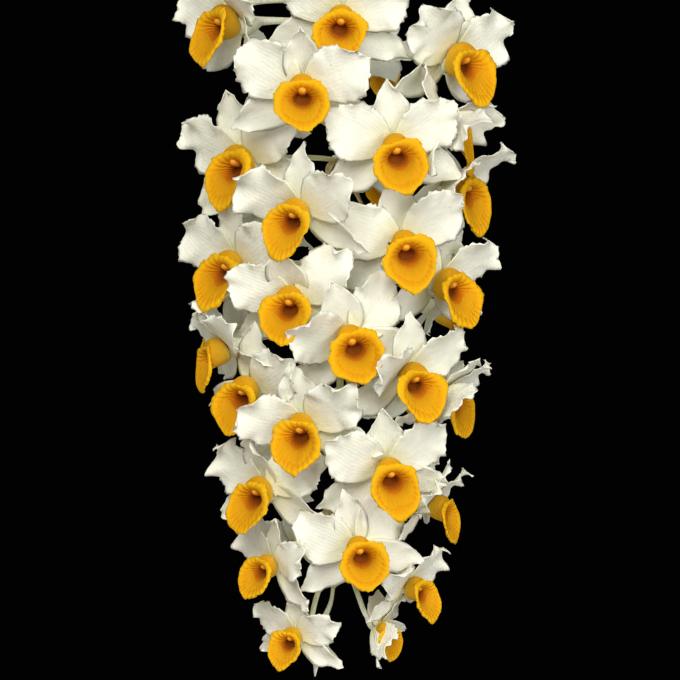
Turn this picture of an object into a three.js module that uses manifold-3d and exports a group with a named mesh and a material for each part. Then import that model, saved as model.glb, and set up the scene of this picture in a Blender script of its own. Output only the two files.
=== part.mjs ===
// A potted pinecone orchid, Dendrobium thyrsiflorum: a clay pot of bark, six canes with leathery leaves,
// and one hanging raceme of white blooms with golden lips. Millimetres, +Z up.
// The origin is the centre of the pot's flat base. The raceme hangs free of the pot on the +X side.
import * as THREE from "three";
import { mergeVertices } from "three/addons/utils/BufferGeometryUtils.js";
import Module from "manifold-3d";

const wasm = await Module();
wasm.setup();

// Driving dimensions of the pot and its filling.
const pot = {
  height: 122, wall: 5, floor: 8, baseRadius: 49, topRadius: 70, rimHeight: 20, rimOut: 5, sides: 24,
};
const drain = { count: 3, radius: 5.5, ringRadius: 28, sides: 8 };
const bark = { top: 100, gap: 0.4, chips: 11, spread: 57, long: 30, wide: 19, thick: 9 };
const seatGap = 0.4; // room left between a cane and its hole, and between the raceme and its cane

// Driving dimensions of one bloom at full size.
const hub = { radius: 3, thick: 1.3 };
const tepalThick = 0.75;
const petal = {
  length: 18.5, width: 18, neck: 0.34, belly: 1.1, fullness: 0.6, end: 0.94, cup: 0.12, lift: 6, curl: -12,
};
const sepal = {
  length: 21, width: 12.5, neck: 0.6, belly: 0.72, fullness: 0.85, end: 0.985, cup: 0.2, lift: -2, curl: -8,
};
const tepals = [
  { ...petal, aim: 34, side: 1 },
  { ...sepal, aim: 90, side: 0, length: 19, lift: 4, curl: 24 },
  { ...petal, aim: 146, side: -1 },
  { ...sepal, aim: 208, side: 0 },
  { ...sepal, aim: 332, side: 0 },
];
const whorlTilt = 24; // how far the whorl of tepals leans forward at its top, in degrees
// The lip's sections, out from its foot to its rim and back in towards its throat: top, bottom, half the
// width, how far forward the top and bottom stand.
const lip = {
  out: [
    [1.4, -4.2, 2.8, 1, 1], [5.5, -5.2, 4.6, 5.2, 6.8],
    [4.1, -6.6, 5.3, 7.9, 11.3], [4.3, -12.1, 8.2, 8.7, 15.8],
  ],
  in: [[3.5, -11.3, 7.4, 9, 16.1], [1.5, -5.6, 3.9, 8, 11.6]],
  egg: 0.2, throat: [-2.2, 5.2], mouth: [-4.4, 12.3], middle: [-2.14, 8.82], sides: 7,
};

// The raceme. A bloom is placed by where the mouth of its lip shows in a square picture of the raceme,
// 680 pixels a side, seen from -Y: across, down, the way it faces round from the viewer and down from level,
// its turn about its own middle, its size, and how far it stands out past its neighbours. Angles in
// degrees; past 90 a bloom faces away.
const picture = { scale: 0.31, axisAcross: 340, middleDown: 340, eyeDistance: 1200 };
const raceme = {
  axisX: 200, axisY: 0, middleZ: 352, girth: 36, stalk: 1.9, stalkEnd: 1.1, pedicel: 1.3, ovary: 1.9,
};
const placings = [
  [206, 32, -50, 16, -4, 1.06], [339, 34, 0, 18, -7, 1, -3], [473, 75, 42, 14, 8, 1.1],
  [302, 104, -3, 8, 2, 1.02, 5], [226, 178, -44, 18, -2, 1.1, -3], [401, 165, 8, 16, 8, 1.02, 2],
  [477, 206, 58, 20, 4, 1.02], [286, 234, -36, 20, -7, 0.98, 3], [213, 278, -48, 16, -10, 1.02],
  [411, 263, 10, 16, 9, 1.02], [464, 300, 46, 16, 5, 1.02], [284, 317, -26, 16, -9, 1],
  [234, 404, -42, 20, -4, 0.95], [357, 355, 3, 14, 6, 1.02], [427, 397, 26, 16, 5, 0.98],
  [464, 418, 74, 26, 8, 0.82], [294, 446, -20, 16, -4, 1], [246, 506, -38, 18, -4, 0.96],
  [397, 493, 20, 16, 9, 0.98], [448, 521, 74, 28, 8, 0.78], [253, 579, -42, 12, -8, 0.76],
  [366, 566, 8, 16, 5, 0.94], [428, 601, 62, 22, 2, 0.72], [285, 652, -28, 8, -12, 0.72],
  [397, 650, 50, 36, 10, 0.58], [203, 370, -80, 22, -5, 0.88, 4], [262, -72, -30, 12, -8, 0.82],
  [402, -74, 28, 12, 10, 0.82], [384, 78, 142, 28, 12, 0.84], [262, 134, -120, 14, -10, 0.66],
  [468, 148, 84, 16, 12, 1], [384, 192, 150, 20, 0, 0.84], [458, 330, 100, 24, 0, 0.84],
  [213, 350, -125, 14, 0, 0.8], [286, 558, -150, 14, 0, 0.68], [424, 410, 160, 14, 0, 0.78],
  [294, 440, -165, 14, 0, 0.78], [205, 28, -112, 14, 0, 0.84],
  [470, -46, 120, 14, 0, 0.82], [248, 240, -140, 16, 0, 0.8], [420, 263, 160, 16, 0, 0.8],
  [250, 494, -145, 14, 0, 0.76], [394, 490, 170, 14, 0, 0.78],
  [336, -54, 178, 12, 0, 0.88],
];

// Canes: where each stands in the bark, the points its middle line passes, its girth, and its leaves.
// A leaf gives how far up the cane it grows, its compass turn, its rise, its length and its droop in degrees.
const leafShape = { width: 40, thick: 1.2, fold: 0.16, neck: 0.22 };
const canes = [
  {
    name: "cane_flowering", line: [[20, 0, 84], [26, 2, 210], [42, 3, 350], [78, 2, 465], [128, 0, 532]],
    girth: 6.4, flowers: true,
    leaves: [[0.86, -112, 34, 122, 62], [0.915, 84, 36, 128, 66], [1, -24, 50, 118, 74]],
  },
  {
    name: "cane_left", line: [[-24, 8, 84], [-34, 11, 220], [-56, 16, 360], [-92, 22, 470]], girth: 6.6,
    leaves: [
      [0.84, 118, 30, 128, 66], [0.9, -112, 34, 136, 70], [0.955, 150, 40, 130, 70], [1, -150, 54, 120, 60],
    ],
  },
  {
    name: "cane_front", line: [[0, -26, 84], [-8, -38, 210], [-24, -58, 330], [-44, -84, 430]], girth: 6.4,
    leaves: [
      [0.84, -20, 32, 112, 70], [0.9, 160, 34, 132, 66], [0.955, -62, 40, 128, 72], [1, -140, 56, 118, 62],
    ],
  },
  {
    name: "cane_back", line: [[2, 27, 84], [0, 44, 210], [-8, 68, 350], [-16, 100, 462]], girth: 6.2,
    leaves: [
      [0.84, 176, 30, 126, 64], [0.9, 20, 50, 112, 62], [0.955, 120, 36, 132, 72], [1, 74, 56, 120, 60],
    ],
  },
  {
    name: "cane_young", line: [[26, -24, 84], [32, -34, 150], [34, -46, 225], [32, -60, 290]], girth: 5.2,
    leaves: [[0.7, -150, 40, 86, 60], [0.84, -60, 48, 92, 60], [1, -110, 66, 84, 40]],
  },
  {
    name: "cane_old", line: [[-40, -16, 84], [-52, -24, 170], [-66, -34, 250], [-84, -44, 316]], girth: 6.8,
    leaves: [],
  },
];
const cane = { sides: 6, internode: 50, nodeSwell: 1.12, foot: 0.62, tip: 0.5 };

const degree = Math.PI / 180;
const vector = (x, y, z) => new THREE.Vector3(x, y, z);

// The same draw for the same two whole numbers, from 0 to 1.
function chance(which, draw) {
  const x = Math.sin(which * 12.9898 + draw * 78.233) * 43758.5453;
  return x - Math.floor(x);
}

const around = (which, draw, reach) => (chance(which, draw) * 2 - 1) * reach;

// Solids

function solidOf(geometry) {
  const bare = geometry.index ? geometry.clone() : geometry;
  bare.deleteAttribute("normal");
  bare.deleteAttribute("uv");
  const merged = mergeVertices(bare, 1e-4);
  return new wasm.Manifold(
    new wasm.Mesh({
      numProp: 3,
      vertProperties: new Float32Array(merged.attributes.position.array),
      triVerts: new Uint32Array(merged.index.array),
    }),
  );
}

function geometryOf(solid) {
  const { vertProperties, triVerts } = solid.getMesh();
  const geometry = new THREE.BufferGeometry();
  geometry.setAttribute("position", new THREE.BufferAttribute(new Float32Array(vertProperties), 3));
  geometry.setIndex(new THREE.BufferAttribute(new Uint32Array(triVerts), 1));
  return geometry.toNonIndexed();
}

function geometryFrom(points, faces) {
  const geometry = new THREE.BufferGeometry();
  const numbers = points.flatMap((p) => [p.x, p.y, p.z]);
  geometry.setAttribute("position", new THREE.BufferAttribute(new Float32Array(numbers), 3));
  geometry.setIndex(faces.flat());
  return geometry;
}

// A sheet of triangles becomes a closed blade: its front, a back alike in every triangle, and a rim wall.
function bladeOf(sheet) {
  const count = sheet.points.length;
  const shift = (sign) => (p, i) => p.clone().addScaledVector(sheet.normals[i], sign * sheet.halves[i]);
  const points = [...sheet.points.map(shift(1)), ...sheet.points.map(shift(-1))];
  const faces = [];
  const edges = new Set();
  for (const [a, b, c] of sheet.faces) {
    faces.push([a, b, c], [a + count, c + count, b + count]);
    for (const [from, to] of [[a, b], [b, c], [c, a]]) edges.add(`${from},${to}`);
  }
  for (const edge of edges) {
    const [from, to] = edge.split(",").map(Number);
    if (edges.has(`${to},${from}`)) continue;
    faces.push([to, from, from + count], [to, from + count, to + count]);
  }
  return geometryFrom(points, faces);
}

// Rings of points become a closed tube with flat ends, or with its far end drawn to a point.
// Each ring runs anticlockwise seen from ahead.
function tubeOf(rings, apex = null) {
  const sides = rings[0].length;
  const points = rings.flat();
  const faces = [];
  for (let r = 0; r + 1 < rings.length; r++)
    for (let i = 0; i < sides; i++) {
      const [a, b] = [r * sides + i, r * sides + ((i + 1) % sides)];
      faces.push([a, b, b + sides], [a, b + sides, a + sides]);
    }
  const last = (rings.length - 1) * sides;
  for (let i = 1; i + 1 < sides; i++) faces.push([0, i + 1, i]);
  if (apex) for (let i = 0; i < sides; i++) faces.push([last + i, last + ((i + 1) % sides), points.length]);
  else for (let i = 1; i + 1 < sides; i++) faces.push([last, last + i, last + i + 1]);
  return geometryFrom(apex ? [...points, apex] : points, faces);
}

// A smooth line through points.
const curveOf = (points) => new THREE.CatmullRomCurve3(points.map((p) => vector(...p)), false, "centripetal");

function onRing(at, side, up, radius, angle) {
  const [c, s] = [radius * Math.cos(angle * degree), radius * Math.sin(angle * degree)];
  return at.clone().addScaledVector(side, c).addScaledVector(up, s);
}

// A tube through stations, each a point, the way ahead there and a radius; the rings don't twist.
function tubeThrough(stations, sides) {
  const side = stations[0].ahead.clone().cross(vector(0, 0, 1));
  if (side.length() < 0.2) side.set(0, 1, 0);
  const rings = stations.map(({ at, ahead, radius }) => {
    side.addScaledVector(ahead, -side.dot(ahead)).normalize();
    const up = ahead.clone().cross(side);
    return Array.from({ length: sides }, (_, i) => onRing(at, side, up, radius, (i / sides) * 360));
  });
  return tubeOf(rings);
}

const station = (at, ahead, radius) => ({ at, ahead: ahead.clone().normalize(), radius });

// One bloom, in its own frame: +z the way it faces, +y towards its upper sepal, its middle at 0

// How broad a tepal is along its length, from 0 at the root to 1 at the tip, as a share of its width.
function outline(shape, u) {
  const blade = Math.sin(Math.PI * (shape.end * u) ** shape.belly) ** shape.fullness;
  return shape.neck * (1 - u) + (1 - shape.neck * (1 - u)) * blade;
}

// A point of a tepal: u runs from its root to its tip, v from one edge at -1 to the other at 1. The whole
// whorl leans forward about the bloom's level axis.
function tepalPoint(shape, bend, u, v) {
  const [lift, curl] = [(shape.lift + bend) * degree, shape.curl * degree];
  const along = (shape.length / curl) * (Math.sin(lift + curl * u) - Math.sin(lift));
  const rise = (-shape.length / curl) * (Math.cos(lift + curl * u) - Math.cos(lift));
  const half = (shape.width / 2) * outline(shape, u);
  const [c, s] = [Math.cos(shape.aim * degree), Math.sin(shape.aim * degree)];
  const out = hub.radius + along;
  const wave = 0.5 * Math.sin(7 * u + shape.aim) * v * v * u;
  const up = rise + shape.cup * half * v * v + wave;
  const point = vector(c * out - s * v * half, s * out + c * v * half, up);
  return point.applyAxisAngle(vector(1, 0, 0), whorlTilt * degree);
}

// Rows of a tepal's points from root to tip, each from the -v edge to the +v edge.
const petalRows = [
  [[0.5, -1], [0.56, 0], [0.46, 1]],
  [[0.84, -1.04], [0.99, -0.5], [0.93, -0.1], [1.02, 0.3], [0.82, 1.06]],
];
const sepalRows = [[[0.34, -1], [0.34, 1]], [[0.74, -1], [0.74, 1]], [[1, 0]]];

// The five tepals as one sheet round a five-cornered hub: its corners come first, each between two tepals.
function perianthSheet(bends) {
  const forward = vector(0, 0, 1);
  const [points, normals, halves] = [[], [], []];
  const add = (point, normal, half) => {
    points.push(point);
    normals.push(normal);
    halves.push(half);
    return points.length - 1;
  };
  const corners = tepals.map(({ aim }, k) => {
    const angle = ((aim + (k < 4 ? tepals[k + 1].aim : tepals[0].aim + 360)) / 2) * degree;
    return add(vector(hub.radius * Math.cos(angle), hub.radius * Math.sin(angle), 0), forward, hub.thick / 2);
  });
  const faces = [];
  tepals.forEach((shape, k) => {
    const grow = ([u, v]) => {
      const at = (a, b) => tepalPoint(shape, bends[k], a, b);
      const [p, before, beside] = [at(u, v), at(u - 0.02, v), at(u, v + 0.05)];
      return add(p, p.clone().sub(before).cross(beside.sub(p)).normalize(), tepalThick / 2);
    };
    const [right, left] = [corners[(k + 4) % 5], corners[k]];
    if (shape.side) {
      const [[r1, middle, l1], edge] = petalRows.map((row) => row.map(([u, v]) => grow([u, v * shape.side])));
      faces.push([right, ...(shape.side > 0 ? [r1, middle] : [l1, middle])], [right, middle, left]);
      faces.push([left, middle, shape.side > 0 ? l1 : r1]);
      const outer = shape.side > 0 ? [r1, ...edge, l1] : [l1, ...edge.reverse(), r1];
      for (let i = 0; i + 1 < outer.length; i++) faces.push([outer[i], outer[i + 1], middle]);
    } else {
      const [[r1, l1], [r2, l2], [tip]] = sepalRows.map((row) => row.map(grow));
      faces.push([right, r1, l1], [right, l1, left], [r1, r2, l2], [r1, l2, l1], [r2, tip, l2]);
    }
  });
  return { points, normals, halves, faces, corners };
}

// A ring of one of the lip's sections, an ellipse that is egg-shaped at the rim, grown outwards and ahead.
function lipRing([top, bottom, half, topAhead, bottomAhead], egg, grow = 0, ahead = 0) {
  return Array.from({ length: lip.sides }, (_, i) => {
    const angle = Math.PI - (i / lip.sides) * 2 * Math.PI;
    const [c, s] = [Math.cos(angle), Math.sin(angle)];
    const y = (top + bottom) / 2 + ((top - bottom) / 2 + grow) * c;
    const z = THREE.MathUtils.lerp(topAhead, bottomAhead, (1 - c) / 2);
    return vector((half + grow) * s * (1 + egg * c), y, z + ahead);
  });
}

// The lip as a hollow trumpet, or with its skin grown outwards all over.
function lipShell(grow = 0) {
  const last = lip.out.length - 1;
  const outer = lip.out.map((section, i) => lipRing(section, i === last ? lip.egg : 0, grow, -grow));
  const rim = grow > 0 ? [lipRing(lip.out[last], lip.egg, grow, grow)] : [];
  const inner = lip.in.map((section, i) => lipRing(section, i === 0 ? lip.egg : 0, -grow, grow));
  return tubeOf([...outer, ...rim, ...inner], vector(0, lip.throat[0], lip.throat[1] + grow));
}

// Where the blooms are

// The middles of the blooms lie on a round wall about the raceme's stalk, narrower at its younger, lower end.
function girthAt(down) {
  const { girth } = raceme;
  if (down < 430) return girth;
  if (down < 600) return girth - ((down - 430) / 170) * 10;
  return girth - 10 - ((down - 600) / 55) * 9;
}

function placeBloom([across, down, turn, nod, roll, size, stand = 0], i) {
  const { scale, axisAcross, middleDown, eyeDistance } = picture;
  const [ct, st] = [Math.cos(turn * degree), Math.sin(turn * degree)];
  const [cn, sn] = [Math.cos(nod * degree), Math.sin(nod * degree)];
  const facing = vector(st * cn, -ct * cn, -sn);
  const upright = vector(st * sn, -ct * sn, cn).applyAxisAngle(facing, roll * degree);
  const frame = new THREE.Matrix4().makeBasis(upright.clone().cross(facing), upright, facing);
  frame.scale(vector(size, size, size));
  const mouth = vector(0, ...lip.mouth).applyMatrix4(frame);
  const girth = girthAt(down) + stand;
  let shrink = 1;
  let [x, near] = [0, 0];
  for (let pass = 0; pass < 4; pass++) {
    x = (across - axisAcross) * scale * shrink - mouth.x;
    near = Math.sqrt(Math.max(0, girth * girth - x * x)) * (Math.abs(turn) > 90 ? -1 : 1);
    shrink = 1 - (near - mouth.y) / eyeDistance;
  }
  const z = raceme.middleZ - (down - middleDown) * scale * shrink - mouth.z;
  const middle = vector(raceme.axisX + x, raceme.axisY - near, z);
  frame.setPosition(middle);
  const lipMiddle = vector(0, ...lip.middle).applyMatrix4(frame);
  const out = vector(x, -near, 0).normalize();
  return { index: i + 1, down, size, middle, facing, out, frame, lipMiddle, bends: tepals.map(() => 0) };
}

// Each tepal is bent back or forward as little as keeps it off the other blooms' lips, and off their tepals
// that are already settled. Staying off a lip counts for more.
const bendSteps = [0, -8, 8, -16, 16, -24, 24, -34, 34, -44, -54, -66];
const probes = [0.4, 0.7, 0.95].flatMap((u) => [-0.9, 0, 0.9].map((v) => [u, v]));
function settleTepals(blooms) {
  const settled = [];
  for (const bloom of blooms)
    tepals.forEach((shape, k) => {
      const others = blooms.filter((other) => other !== bloom);
      const lips = others.filter((other) => other.lipMiddle.distanceTo(bloom.middle) < 42);
      const marks = settled.filter((mark) => mark.bloom !== bloom && mark.at.distanceTo(bloom.middle) < 30);
      let best = { score: -Infinity };
      for (const bend of bendSteps) {
        const points = probes.map(([u, v]) => tepalPoint(shape, bend, u, v).applyMatrix4(bloom.frame));
        let [lipRoom, room] = [0, 0];
        for (const point of points) {
          for (const { lipMiddle, size } of lips)
            lipRoom = Math.min(lipRoom, point.distanceTo(lipMiddle) - 10.2 * size);
          for (const mark of marks) room = Math.min(room, point.distanceTo(mark.at) - 2.8);
        }
        const score = 6 * lipRoom + room - 0.04 * Math.abs(bend);
        if (score > best.score + 1e-6) best = { score, bend, points };
      }
      bloom.bends[k] = best.bend;
      settled.push(...best.points.map((at) => ({ at, bloom })));
    });
}

const blooms = placings.map(placeBloom);
settleTepals(blooms);

// The raceme's stalk comes out of its cane, arches over and hangs plumb.

const stalkEnd = raceme.middleZ - (588 - picture.middleDown) * picture.scale;
const stalkLine = curveOf([
  [111, 1, 512], [124, 1, 513], [152, 0, 520], [180, 0, 513], [196, 0, 492], [200, 0, 468],
  [201, 0, 430], [199.5, 0, 385], [200.5, 0, 330], [200, 0, stalkEnd],
]);

function stalkTube(grow = 0, upTo = 1) {
  const steps = 18;
  const stations = [];
  for (let i = 0; i <= steps * upTo; i++) {
    const radius = THREE.MathUtils.lerp(raceme.stalk, raceme.stalkEnd, (i / steps) ** 2) + grow;
    const at = stalkLine.getPointAt(i / steps);
    if (i === 0) at.x -= grow;
    stations.push(station(at, stalkLine.getTangentAt(i / steps), radius));
  }
  return tubeThrough(stations, 5);
}

// A bloom's own stalk leaves the raceme's higher up the lower the bloom is, so the lowest blooms hang.
// Rings from the bloom back to the stalk: the chin, the ovary, half way, and inside the raceme's stalk.
const stalkAngles = [90, 210, 330];
function pedicelRings(bloom) {
  const { middle, facing, out, size, index, down, frame } = bloom;
  const hang = 1 + 20 * THREE.MathUtils.clamp((down - 330) / 300, 0, 1);
  const height = Math.max(stalkEnd + 2, middle.z + hang + around(index, 9, 1.5));
  const root = vector(raceme.axisX, raceme.axisY, height);
  const behind = (back) => middle.clone().addScaledVector(facing, -back * size);
  const shoulder = root.clone().addScaledVector(out, 10).add(vector(0, 0, hang > 12 ? -6 : 1.5));
  const line = new THREE.CubicBezierCurve3(root, shoulder, behind(13), behind(8.5));
  const side = vector(1, 0, 0).transformDirection(frame);
  return [1, 0.5, 0].map((t) => {
    const [at, ahead] = [line.getPoint(t), t === 1 ? facing : line.getTangent(t)];
    const radius = THREE.MathUtils.lerp(raceme.pedicel, raceme.ovary * size, t * t);
    side.addScaledVector(ahead, -side.dot(ahead)).normalize();
    const up = ahead.clone().cross(side);
    return stalkAngles.map((angle) => onRing(at, side, up, radius, angle));
  });
}

// A whole bloom but for its lip: tepals, chin, ovary and stalk as one closed skin.
function bloomBody(bloom) {
  const { points, normals, halves, faces, corners } = perianthSheet(bloom.bends);
  const count = points.length;
  const shift = (sign) => (p, i) =>
    p.clone().addScaledVector(normals[i], sign * halves[i]).applyMatrix4(bloom.frame);
  const all = [...points.map(shift(1)), ...points.map(shift(-1))];
  const skin = [];
  const edges = new Set();
  for (const [a, b, c] of [...faces, [0, 1, 2], [0, 2, 3], [0, 3, 4]]) {
    skin.push([a, b, c]);
    for (const [from, to] of [[a, b], [b, c], [c, a]]) edges.add(`${from},${to}`);
  }
  for (const [a, b, c] of faces) skin.push([a + count, c + count, b + count]);
  for (const edge of edges) {
    const [from, to] = edge.split(",").map(Number);
    if (!edges.has(`${to},${from}`)) skin.push([to, from, from + count], [to, from + count, to + count]);
  }
  const angleOf = (p) => (Math.atan2(p.y, p.x) / degree + 360) % 360;
  const angles = corners.map((i) => angleOf(points[i]));
  const chin = angles.map((angle) => {
    const [c, s] = [3 * Math.cos(angle * degree), 3 * Math.sin(angle * degree)];
    return vector(c, s - 1.5, -3.6).applyMatrix4(bloom.frame);
  });
  let before = corners.map((i) => i + count);
  let beforeAngles = angles;
  for (const ring of [chin, ...pedicelRings(bloom)]) {
    const ringAngles = ring === chin ? angles : stalkAngles;
    const here = ring.map((p) => all.push(p) - 1);
    skin.push(...bridge(before, beforeAngles, here, ringAngles));
    [before, beforeAngles] = [here, ringAngles];
  }
  for (let i = 1; i + 1 < before.length; i++) skin.push([before[0], before[i + 1], before[i]]);
  return geometryFrom(all, skin);
}

// Triangles between two rings whose corners are at given angles, the second ring behind the first.
function bridge(front, frontAngles, back, backAngles) {
  const faces = [];
  const next = (angles, i) =>
    i < angles.length - 1 ? angles[i + 1] : i < angles.length ? angles[0] + 360 : Infinity;
  let [i, j] = [0, 0];
  while (i < front.length || j < back.length) {
    const [f, b] = [front[i % front.length], back[j % back.length]];
    if (next(backAngles, j) <= next(frontAngles, i)) faces.push([f, b, back[(j++ + 1) % back.length]]);
    else faces.push([f, b, front[(i++ + 1) % front.length]]);
  }
  return faces;
}

function racemeSolid() {
  const parts = [solidOf(stalkTube())];
  for (const bloom of blooms) parts.push(solidOf(bloomBody(bloom)));
  const white = wasm.Manifold.union(parts).simplify(0.15);
  const room = solidOf(lipShell(seatGap * 0.8));
  const rooms = blooms.map((bloom) => room.transform(bloom.frame.elements));
  const lips = rooms.filter((one) => white.intersect(one).volume() > 0);
  const pieces = white.subtract(wasm.Manifold.union(lips)).decompose();
  return pieces.reduce((most, piece) => (piece.volume() > most.volume() ? piece : most));
}

// Canes and leaves

// A cane swells at each joint, and is thickest above its middle.
function caneTube(plan, grow = 0, upTo = Infinity) {
  const line = curveOf(plan.line);
  const joints = Math.round(line.getLength() / cane.internode);
  const stations = [];
  for (let j = 0; j <= joints; j++)
    for (const [step, swell] of [[0, cane.nodeSwell], [0.35, 1]]) {
      const t = Math.min(1, (j + step) / (joints + 0.35));
      if (stations.length > 1 && stations.at(-1).at.z > upTo) break;
      const body = cane.foot + (1 - cane.foot) * Math.sin(Math.PI * (t * 0.78 + 0.08)) ** 0.8;
      const taper = t > 0.82 ? 1 - ((t - 0.82) / 0.18) * (1 - cane.tip) : 1;
      const at = line.getPointAt(t);
      if (j === 0 && step === 0) at.z -= grow;
      stations.push(station(at, line.getTangentAt(t), plan.girth * body * taper * swell + grow));
    }
  return tubeThrough(stations, cane.sides);
}

// A leathery blade: widest below its middle, folded a little along its midrib, arching over as it goes out.
function leafBlade(plan, [place, turn, rise, length, droop]) {
  const root = curveOf(plan.line).getPointAt(place);
  const level = vector(Math.cos(turn * degree), Math.sin(turn * degree), 0);
  const across = vector(-level.y, level.x, 0);
  const broad = leafShape.width * (length / 130);
  const at = (u, v) => {
    const [start, curl] = [rise * degree, -droop * degree];
    const along = (length / curl) * (Math.sin(start + curl * u) - Math.sin(start));
    const up = (-length / curl) * (Math.cos(start + curl * u) - Math.cos(start));
    const blade = Math.max(0, Math.sin(Math.PI * Math.max(0, u) ** 0.82)) ** 0.75;
    const share = leafShape.neck * (1 - u) ** 2 + blade;
    const half = (broad / 2) * Math.min(1, share);
    return root.clone().addScaledVector(level, along).addScaledVector(across, v * half)
      .add(vector(0, 0, up + leafShape.fold * half * Math.abs(v)));
  };
  const points = [];
  const normals = [];
  const faces = [];
  const grow = (u, v) => {
    const p = at(u, v);
    points.push(p);
    normals.push(p.clone().sub(at(u - 0.03, v)).cross(across).normalize());
    return points.length - 1;
  };
  let row = [-1, 0, 1].map((v) => grow(0, v));
  for (const u of [0.22, 0.5, 0.8]) {
    const next = [-1, 0, 1].map((v) => grow(u, v));
    for (const i of [0, 1]) faces.push([row[i], next[i], next[i + 1]], [row[i], next[i + 1], row[i + 1]]);
    row = next;
  }
  const tip = grow(1, 0);
  faces.push([row[0], tip, row[1]], [row[1], tip, row[2]]);
  return bladeOf({ points, normals, halves: points.map(() => leafShape.thick / 2), faces });
}

// The flowering cane has a socket that the raceme's stalk sits in.
function caneSolid(plan) {
  const leaves = plan.leaves.map((leaf) => solidOf(leafBlade(plan, leaf)));
  const whole = wasm.Manifold.union([solidOf(caneTube(plan)), ...leaves]);
  return (plan.flowers ? whole.subtract(solidOf(stalkTube(seatGap, 0.3))) : whole).simplify(0.1);
}

// Pot and bark

const potOuter = (z) => THREE.MathUtils.lerp(pot.baseRadius, pot.topRadius, z / pot.height);

function potSolid() {
  const { height, wall, floor, rimHeight, rimOut } = pot;
  const profile = [
    [0, 0], [pot.baseRadius, 0], [potOuter(height - rimHeight), height - rimHeight],
    [potOuter(height - rimHeight) + rimOut, height - rimHeight + 1.5],
    [pot.topRadius + rimOut, height - 1.5], [pot.topRadius + rimOut - 1.5, height],
    [pot.topRadius - wall, height],
    [potOuter(floor) - wall, floor], [0, floor],
  ].map(([r, z]) => new THREE.Vector2(r, z));
  let body = solidOf(new THREE.LatheGeometry(profile, pot.sides).rotateX(Math.PI / 2));
  for (let i = 0; i < drain.count; i++) {
    const turn = (i / drain.count) * 2 * Math.PI;
    const hole = new THREE.CylinderGeometry(drain.radius, drain.radius, floor * 3, drain.sides);
    hole.rotateX(Math.PI / 2);
    hole.translate(drain.ringRadius * Math.cos(turn), drain.ringRadius * Math.sin(turn), 0);
    body = body.subtract(solidOf(hole));
  }
  return body;
}

function barkSolid() {
  const share = (z) => (z - pot.floor) / (pot.height - pot.floor);
  const inner = (z) => THREE.MathUtils.lerp(potOuter(pot.floor), pot.topRadius, share(z)) - pot.wall;
  const low = pot.floor + bark.gap;
  const high = bark.top - 3;
  const profile = [[0, low], [inner(low) - bark.gap, low], [inner(high) - bark.gap, high], [0, bark.top]];
  const bed = new THREE.LatheGeometry(profile.map(([r, z]) => new THREE.Vector2(r, z)), pot.sides);
  const parts = [solidOf(bed.rotateX(Math.PI / 2))];
  for (let i = 0; i < bark.chips; i++) {
    const reach = bark.spread * Math.sqrt((i + 0.5) / bark.chips) - 4;
    const turn = i * 2.39996;
    const [long, wide] = [bark.long * (0.7 + 0.5 * chance(i, 20)), bark.wide * (0.7 + 0.5 * chance(i, 21))];
    const chip = new THREE.BoxGeometry(long, wide, bark.thick);
    chip.rotateX(around(i, 22, 0.35)).rotateY(around(i, 23, 0.3)).rotateZ(around(i, 24, 3));
    chip.translate(reach * Math.cos(turn), reach * Math.sin(turn), bark.top - 1 + around(i, 25, 1.2));
    parts.push(solidOf(chip));
  }
  const holes = canes.map((plan) => solidOf(caneTube(plan, seatGap, bark.top + 12)));
  const clearOfPot = new THREE.CylinderGeometry(inner(bark.top) - 1, inner(bark.top - 12) - 1, 60, pot.sides);
  clearOfPot.rotateX(Math.PI / 2).translate(0, 0, bark.top + 18);
  const chips = wasm.Manifold.union(parts.slice(1)).intersect(solidOf(clearOfPot));
  return parts[0].add(chips).subtract(wasm.Manifold.union(holes)).simplify(0.1);
}

// The whole plant

const looks = {
  clay: { color: 0xb5683f, roughness: 0.85 },
  bark: { color: 0x6b452b, roughness: 0.95 },
  leaf: { color: 0x5f8a35, roughness: 0.5 },
  petal: { color: 0xf3f1ea, roughness: 0.6 },
  lip: { color: 0xf2a300, roughness: 0.8 },
};
const plant = new THREE.Group();

function place(name, geometry, look) {
  const mesh = new THREE.Mesh(geometry, new THREE.MeshStandardMaterial({ ...looks[look], metalness: 0 }));
  mesh.name = name;
  plant.add(mesh);
  return mesh;
}

place("pot", geometryOf(potSolid()), "clay");
place("potting_bark", geometryOf(barkSolid()), "bark");
for (const plan of canes) place(plan.name, geometryOf(caneSolid(plan)), "leaf");
place("raceme", geometryOf(racemeSolid()), "petal");
const lipGeometry = lipShell();
for (const bloom of blooms) {
  const mesh = place(`lip_${String(bloom.index).padStart(2, "0")}`, lipGeometry, "lip");
  bloom.frame.decompose(mesh.position, mesh.quaternion, mesh.scale);
}

export default plant;
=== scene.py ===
import math

import bpy
import numpy as np
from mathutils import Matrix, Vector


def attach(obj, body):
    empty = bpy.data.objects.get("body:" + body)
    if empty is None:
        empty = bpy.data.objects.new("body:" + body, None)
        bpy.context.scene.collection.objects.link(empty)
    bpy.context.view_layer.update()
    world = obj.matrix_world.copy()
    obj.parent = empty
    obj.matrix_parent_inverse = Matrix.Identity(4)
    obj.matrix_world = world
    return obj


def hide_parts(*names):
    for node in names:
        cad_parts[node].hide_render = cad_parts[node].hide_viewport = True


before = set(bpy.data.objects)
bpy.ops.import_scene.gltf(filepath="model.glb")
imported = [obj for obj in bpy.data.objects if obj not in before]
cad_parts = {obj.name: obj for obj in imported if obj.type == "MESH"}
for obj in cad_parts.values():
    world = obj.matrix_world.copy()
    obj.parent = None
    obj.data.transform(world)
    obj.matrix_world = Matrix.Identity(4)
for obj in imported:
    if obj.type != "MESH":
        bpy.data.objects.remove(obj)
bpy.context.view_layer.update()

# A pinecone orchid in its pot: white blooms with golden lips round one hanging stalk. Shapes are worked
# out in millimetres from the middle of the pot's base, and makePiece turns them into metres.

bpy.context.scene.view_settings.view_transform = "Standard"

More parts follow.
